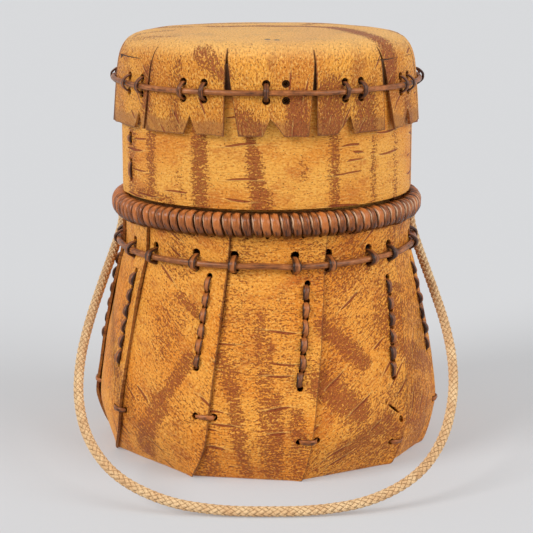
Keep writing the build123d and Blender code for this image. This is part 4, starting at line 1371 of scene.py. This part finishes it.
def capSheet():  # flaps below the slits, and above them rings of faces that the flaps share
    rows, rings = cap["rows"], cap["rings"]
    vertices, faces, index = [], [], {}

    def vertex(key, point):
        if key not in index:
            index[key] = len(vertices)
            vertices.append(point)
        return index[key]

    def addFace(k, i, j):
        corners = ((i, j), (i, j + 1), (i + 1, j + 1), (i + 1, j))
        faces.append(tuple(index[(k, *corner)] for corner in corners))

    for k, flap in enumerate(flaps):
        shares = flapShares(flap)
        across = len(shares) - 1
        tops = [flap[0] + (flap[1] - flap[0]) * share for share in shares]
        for i, top in enumerate(tops):
            index[(k, i, 0)] = vertex(("top", round(top % 360.0, 4)), capPoint(top, capSlit))
        for j in range(1, rows + 1):
            for i, share in enumerate(shares):
                vertex((k, i, j), flapPoint(k, share, j / rows))
        for ring in range(1, rings):
            run = capSlit * (1.0 - ring / rings)
            for i, top in enumerate(tops):
                index[(k, i, -ring)] = vertex(("disc", ring, round(top % 360.0, 4)), capPoint(top, run))
        centre = vertex("centre", capPoint(0.0, 0.0))
        for j in range(rows):
            for i in range(across):
                addFace(k, i, j)
        for i in range(across):
            for j in range(-1, -rings, -1):
                addFace(k, i, j)
            faces.append((centre, index[(k, i, 1 - rings)], index[(k, i + 1, 1 - rings)]))
    obj = newObject("capSheet", vertices, faces)
    thicken(obj, cap["thickness"])
    punch(obj, lidPegs(lidFace - 1.0, 6.0, lidTies["hole"]))
    return obj


def capRunAt(p):  # how far along the sheet a point of the cap lies
    if p.z > cap["slitHeight"]:
        return math.hypot(p.x, p.y)
    return capSlit + (cap["slitHeight"] - p.z)


def capUv(p):
    turn = math.atan2(p.x, -p.y)
    run = capRunAt(p)
    return run * math.cos(turn), run * math.sin(turn)


def capScuffAt(p):
    run = capRunAt(p)
    value = strokeValue(capScuffs, azimuthOf(p), run, min(76.0, max(run, 5.0)))
    if p.z > 205:  # the top's strokes are in millimetres, as degrees are on a circle this wide
        value = max(value, strokeValue(lidTopScuffs, p.x, p.y, math.degrees(1.0)))
    return value


def capTipAt(p):
    return ease((178.8 + 2.6 * ripple(azimuthOf(p), 0.0, 4, 7.0) - p.z) / 2.0)


def capSheenAt(p):  # the top painted paler: a painted highlight where it catches the light
    return ease((p.z - 205.0) / 9.0)


def capEdgeShadeAt(p):  # 1 on a flap's edge, falling to 0 over 4 mm: a painted shade line round each flap
    if p.z > cap["slitHeight"]:
        return 0.0
    low = cap["profile"][-1][1]
    reach = (cap["slitHeight"] - p.z) / (cap["slitHeight"] - low)
    azimuth = azimuthOf(p)
    perDegree = math.radians(1.0) * cap["edgeRadius"]
    nearest = 9.0
    for flap in flaps:
        left, right = (a + (b - a) * reach for a, b in zip(flap[:2], flap[2:4]))
        here = azimuth + (360.0 if azimuth < left - 3.0 and azimuth + 360.0 < right + 3.0 else 0.0)
        if left - 3.0 < here < right + 3.0:
            bottom = low + 0.9 + notchDepthAt(flap, here)
            nearest = min(nearest, abs(here - left) * perDegree, abs(right - here) * perDegree,
                          abs(p.z - bottom) * 0.7)
    return max(0.0, 1.0 - nearest / 4.0)


lidCap = capSheet()
paintSheet(lidCap, capUv, scuff=capScuffAt, tip=capTipAt, bleach=capSheenAt, edge=capEdgeShadeAt)
finishSheet(lidCap, capBark)
print("stage: lid cap cut")


# Laced rows that hold the laps of the wall and the collar
seamRow = {
    "azimuth": -64.3, "heights": [166.0, 162.2, 152.5, 144.0], "hole": 1.7,
    "outside": 75.5, "middle": 74.2, "inside": 72.0,
    "Width": 3.2, "Thickness": 1.9, "Steps": 12, "Taper": 0.4, "Wobble": 0.15, "Unevenness": 0.25, "Seed": 17,
}
collarRow = {
    "azimuth": 71.5, "heights": [142.0 + 9.0 * k for k in range(6)], "hole": 1.1,
    "outside": 71.3, "middle": 70.0, "inside": 67.6,
    "Width": 2.3, "Thickness": 1.1, "Steps": 12, "Taper": 0.3, "Wobble": 0.1, "Unevenness": 0.2, "Seed": 19,
}


def rowPegs(row):
    azimuth = row["azimuth"]
    return [(place(azimuth, row["middle"], z), outwardAt(azimuth), row["hole"], punchLengths["deep"])
            for z in row["heights"]]


def runningRow(row):  # outside and inside by turns
    azimuth, heights = row["azimuth"], row["heights"]
    paths = []
    for k, (a, b) in enumerate(zip(heights, heights[1:])):
        face, way = (row["outside"], 1.0) if k % 2 == 0 else (row["inside"], -1.0)
        path = []
        for t, lift in ((0.0, -2.0), (0.05, 0.2), (0.3, 0.75), (0.7, 0.75), (0.95, 0.2), (1.0, -2.0)):
            path.append((place(azimuth, face + way * lift, a + (b - a) * t), outwardAt(azimuth) * way))
        paths.append(path)
    return paths


def wallScuffAt(p):
    return strokeValue(wallScuffs, azimuthOf(p), p.z, strips["wall"]["face"])


def wallShadeAt(p):  # painted shade in the tie holes, under the flaps and along the wall's lower edge
    azimuth = azimuthOf(p)
    nearest = 9.0
    if 180.0 < p.z < 204.0:
        for a in lidTieAngles:
            off = math.radians(folded(azimuth - a)) * 75.0
            rise = abs(p.z - lidTies["height"]) - lidTies["reach"]
            nearest = min(nearest, math.hypot(off, rise))
    inHoles = 1.0 - ease((nearest - 2.5) / 2.5)
    return max(inHoles, 0.6 * ease((136.6 - p.z) / 1.6), 0.97 * ease((p.z - 174.0) / 18.0))


def collarWornAt(p):
    return 0.18 + 0.12 * ripple(p.x, p.y, 71, 18.0)


def collarShadeAt(p):  # painted shade down in the mouth, in the gap under the lid
    return 0.93 * ease((137.4 - p.z) / 3.0)


wallPegs = lidPegs(lidTies["inWall"], punchLengths["shallow"], lidTies["holeInWall"]) + rowPegs(seamRow)
lidWall = rolledStrip("lidWall", strips["wall"], wallPegs)
paintSheet(lidWall, stripUv(strips["wall"]), scuff=wallScuffAt, grime=wallShadeAt)
finishSheet(lidWall, wallBark)
collarPegs = [ropePeg(side * ropeHole["inCollar"]) for side in (-1, 1)] + rowPegs(collarRow)
innerCollar = rolledStrip("innerCollar", strips["collar"], collarPegs)
paintSheet(innerCollar, stripUv(strips["collar"]), scuff=collarWornAt, grime=collarShadeAt)
finishSheet(innerCollar, innerBark)
lidStitches = makeStrands("lidSeamStitches", runningRow(seamRow), seamRow, rootSkin)
collarStitches = makeStrands("collarStitches", runningRow(collarRow), collarRow, rootSkin)


# Lid withy round the flaps, with two ties through each
def lidWithyRadius(azimuth):
    ring = lidFace + 0.4 + lidWithy["stem"] / 2
    return ring + 0.2 * ripple(azimuth, 0.0, 13, 34.0) + lidWithy["overlap"] * overlapAt(azimuth)


def lidWithyHeight(azimuth):
    return lidWithy["height"] + 0.6 * ripple(azimuth, 0.0, 15, 36.0) - 0.5 * overlapAt(azimuth)


def lidTiePaths():
    paths = []
    for k, azimuth in enumerate(lidTieAngles):
        if k != lidTies["missing"]:
            turned = folded(azimuth)
            stem, height = lidWithyRadius(turned), lidWithyHeight(turned)
            paths.append(tiePath(lidFace, stem, height, azimuth, lidTies["reach"], lidTies["half"]))
    return paths


withyAtLid = makeStrands("lidWithy", [withyPath(lidWithyRadius, lidWithyHeight)], lidWithy, withySkin)
tiesAtLid = makeStrands("lidTies", lidTiePaths(), lidTies, rootSkin)
print("stage: lid finished")


# What rides on which body, what it stands for and whose finish it has
carried = [
    (barkBody, "basket", ["folded_bark_body"], "folded_bark"),
    (seamStitches, "basket", ["seam_lacing_%d" % (k + 1) for k in range(gores)], "split_root"),
    (tacks, "basket", ["foot_tacks"], "split_root"),
    (withyAtNeck, "basket", ["neck_withy"], "withy"),
    (tiesAtNeck, "basket", ["neck_withy_ties"], "split_root"),
    (rimBinding, "basket", ["rim_binding"], "rim_root"),
    (innerCollar, "basket", ["inner_collar"], "inner_bark"),
    (collarStitches, "basket", ["collar_seam_lacing"], "split_root"),
    (lidWall, "lid", ["lid_wall"], "wall_bark"),
    (lidStitches, "lid", ["lid_seam_lacing"], "split_root"),
    (lidCap, "lid", ["lid_cap"], "cap_bark"),
    (withyAtLid, "lid", ["lid_withy"], "withy"),
    (tiesAtLid, "lid", ["lid_withy_ties"], "split_root"),
    (ropeHandle, "handle", ["handle_rope"], "rope"),
    (knots[0], "handle", ["stopper_knot_left"], "rope"),
    (knots[1], "handle", ["stopper_knot_right"], "rope"),
]
for piece, carrier, stoodFor, slotName in carried:
    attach(piece, carrier)
    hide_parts(*stoodFor)
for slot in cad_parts["rim_hoop"].material_slots:
    slot.material = withySkin
tuple(ropePath[0])
[tuple(p) for p in ropePath]


# Pale floor, soft light all round, and a wide lamp on either side
studio = {
    "floor": ink(216, 217, 219), "near": -3.0, "far": 14.0, "side": 6.0, "lit": 0.65, "sky": 0.54,
    "lamps": {
        "leftLamp": {"power": 1.74, "spread": 26.0, "tilt": 57.0, "turn": -55.0},
        "rightLamp": {"power": 1.56, "spread": 46.0, "tilt": 62.0, "turn": 61.0},
    },
}


def layFloor():  # part of its colour is its own, so that it shows as written under the lamps
    near, far, side = studio["near"], studio["far"], studio["side"]
    corners = [(-side, near, 0), (side, near, 0), (side, far, 0), (-side, far, 0)]
    floor = newObject("floor", corners, [(0, 1, 2, 3)])
    onFloor = studio["sky"] + sum(
        lamp["power"] * math.cos(math.radians(lamp["tilt"])) / math.pi for lamp in studio["lamps"].values())
    finish, _, shader = newFinish("floorFinish", 0.9, 0.1)
    shader.inputs["Base Color"].default_value = (*(c * studio["lit"] for c in studio["floor"][:3]), 1.0)
    shader.inputs["Emission Color"].default_value = studio["floor"]
    shader.inputs["Emission Strength"].default_value = 1.0 - studio["lit"] * onFloor
    wear(floor, finish)
    return floor


def lightStudio():  # a white sky lights the basket, and the camera sees the floor's colour past the floor
    world = bpy.data.worlds.new("studio")
    scene.world = world
    world.use_nodes = True
    tree = world.node_tree
    sky = tree.nodes["Background"]
    sky.inputs["Color"].default_value = (1.0, 1.0, 1.0, 1.0)
    sky.inputs["Strength"].default_value = studio["sky"]
    backdrop = addNode(tree, "ShaderNodeBackground", Color=studio["floor"], Strength=1.0)
    rays = addNode(tree, "ShaderNodeLightPath")
    either = addNode(tree, "ShaderNodeMixShader")
    for socket, node in zip(either.inputs, (rays, sky, backdrop)):
        tree.links.new(node.outputs[0], socket)
    tree.links.new(either.outputs[0], tree.nodes["World Output"].inputs["Surface"])
    for name, values in studio["lamps"].items():
        lamp = bpy.data.lights.new(name, "SUN")
        lamp.energy = values["power"]
        lamp.angle = math.radians(values["spread"])
        sun = bpy.data.objects.new(name, lamp)
        sun.rotation_euler = (math.radians(values["tilt"]), 0.0, math.radians(values["turn"]))
        scene.collection.objects.link(sun)


layFloor()
lightStudio()

print("stage: scene dressed")
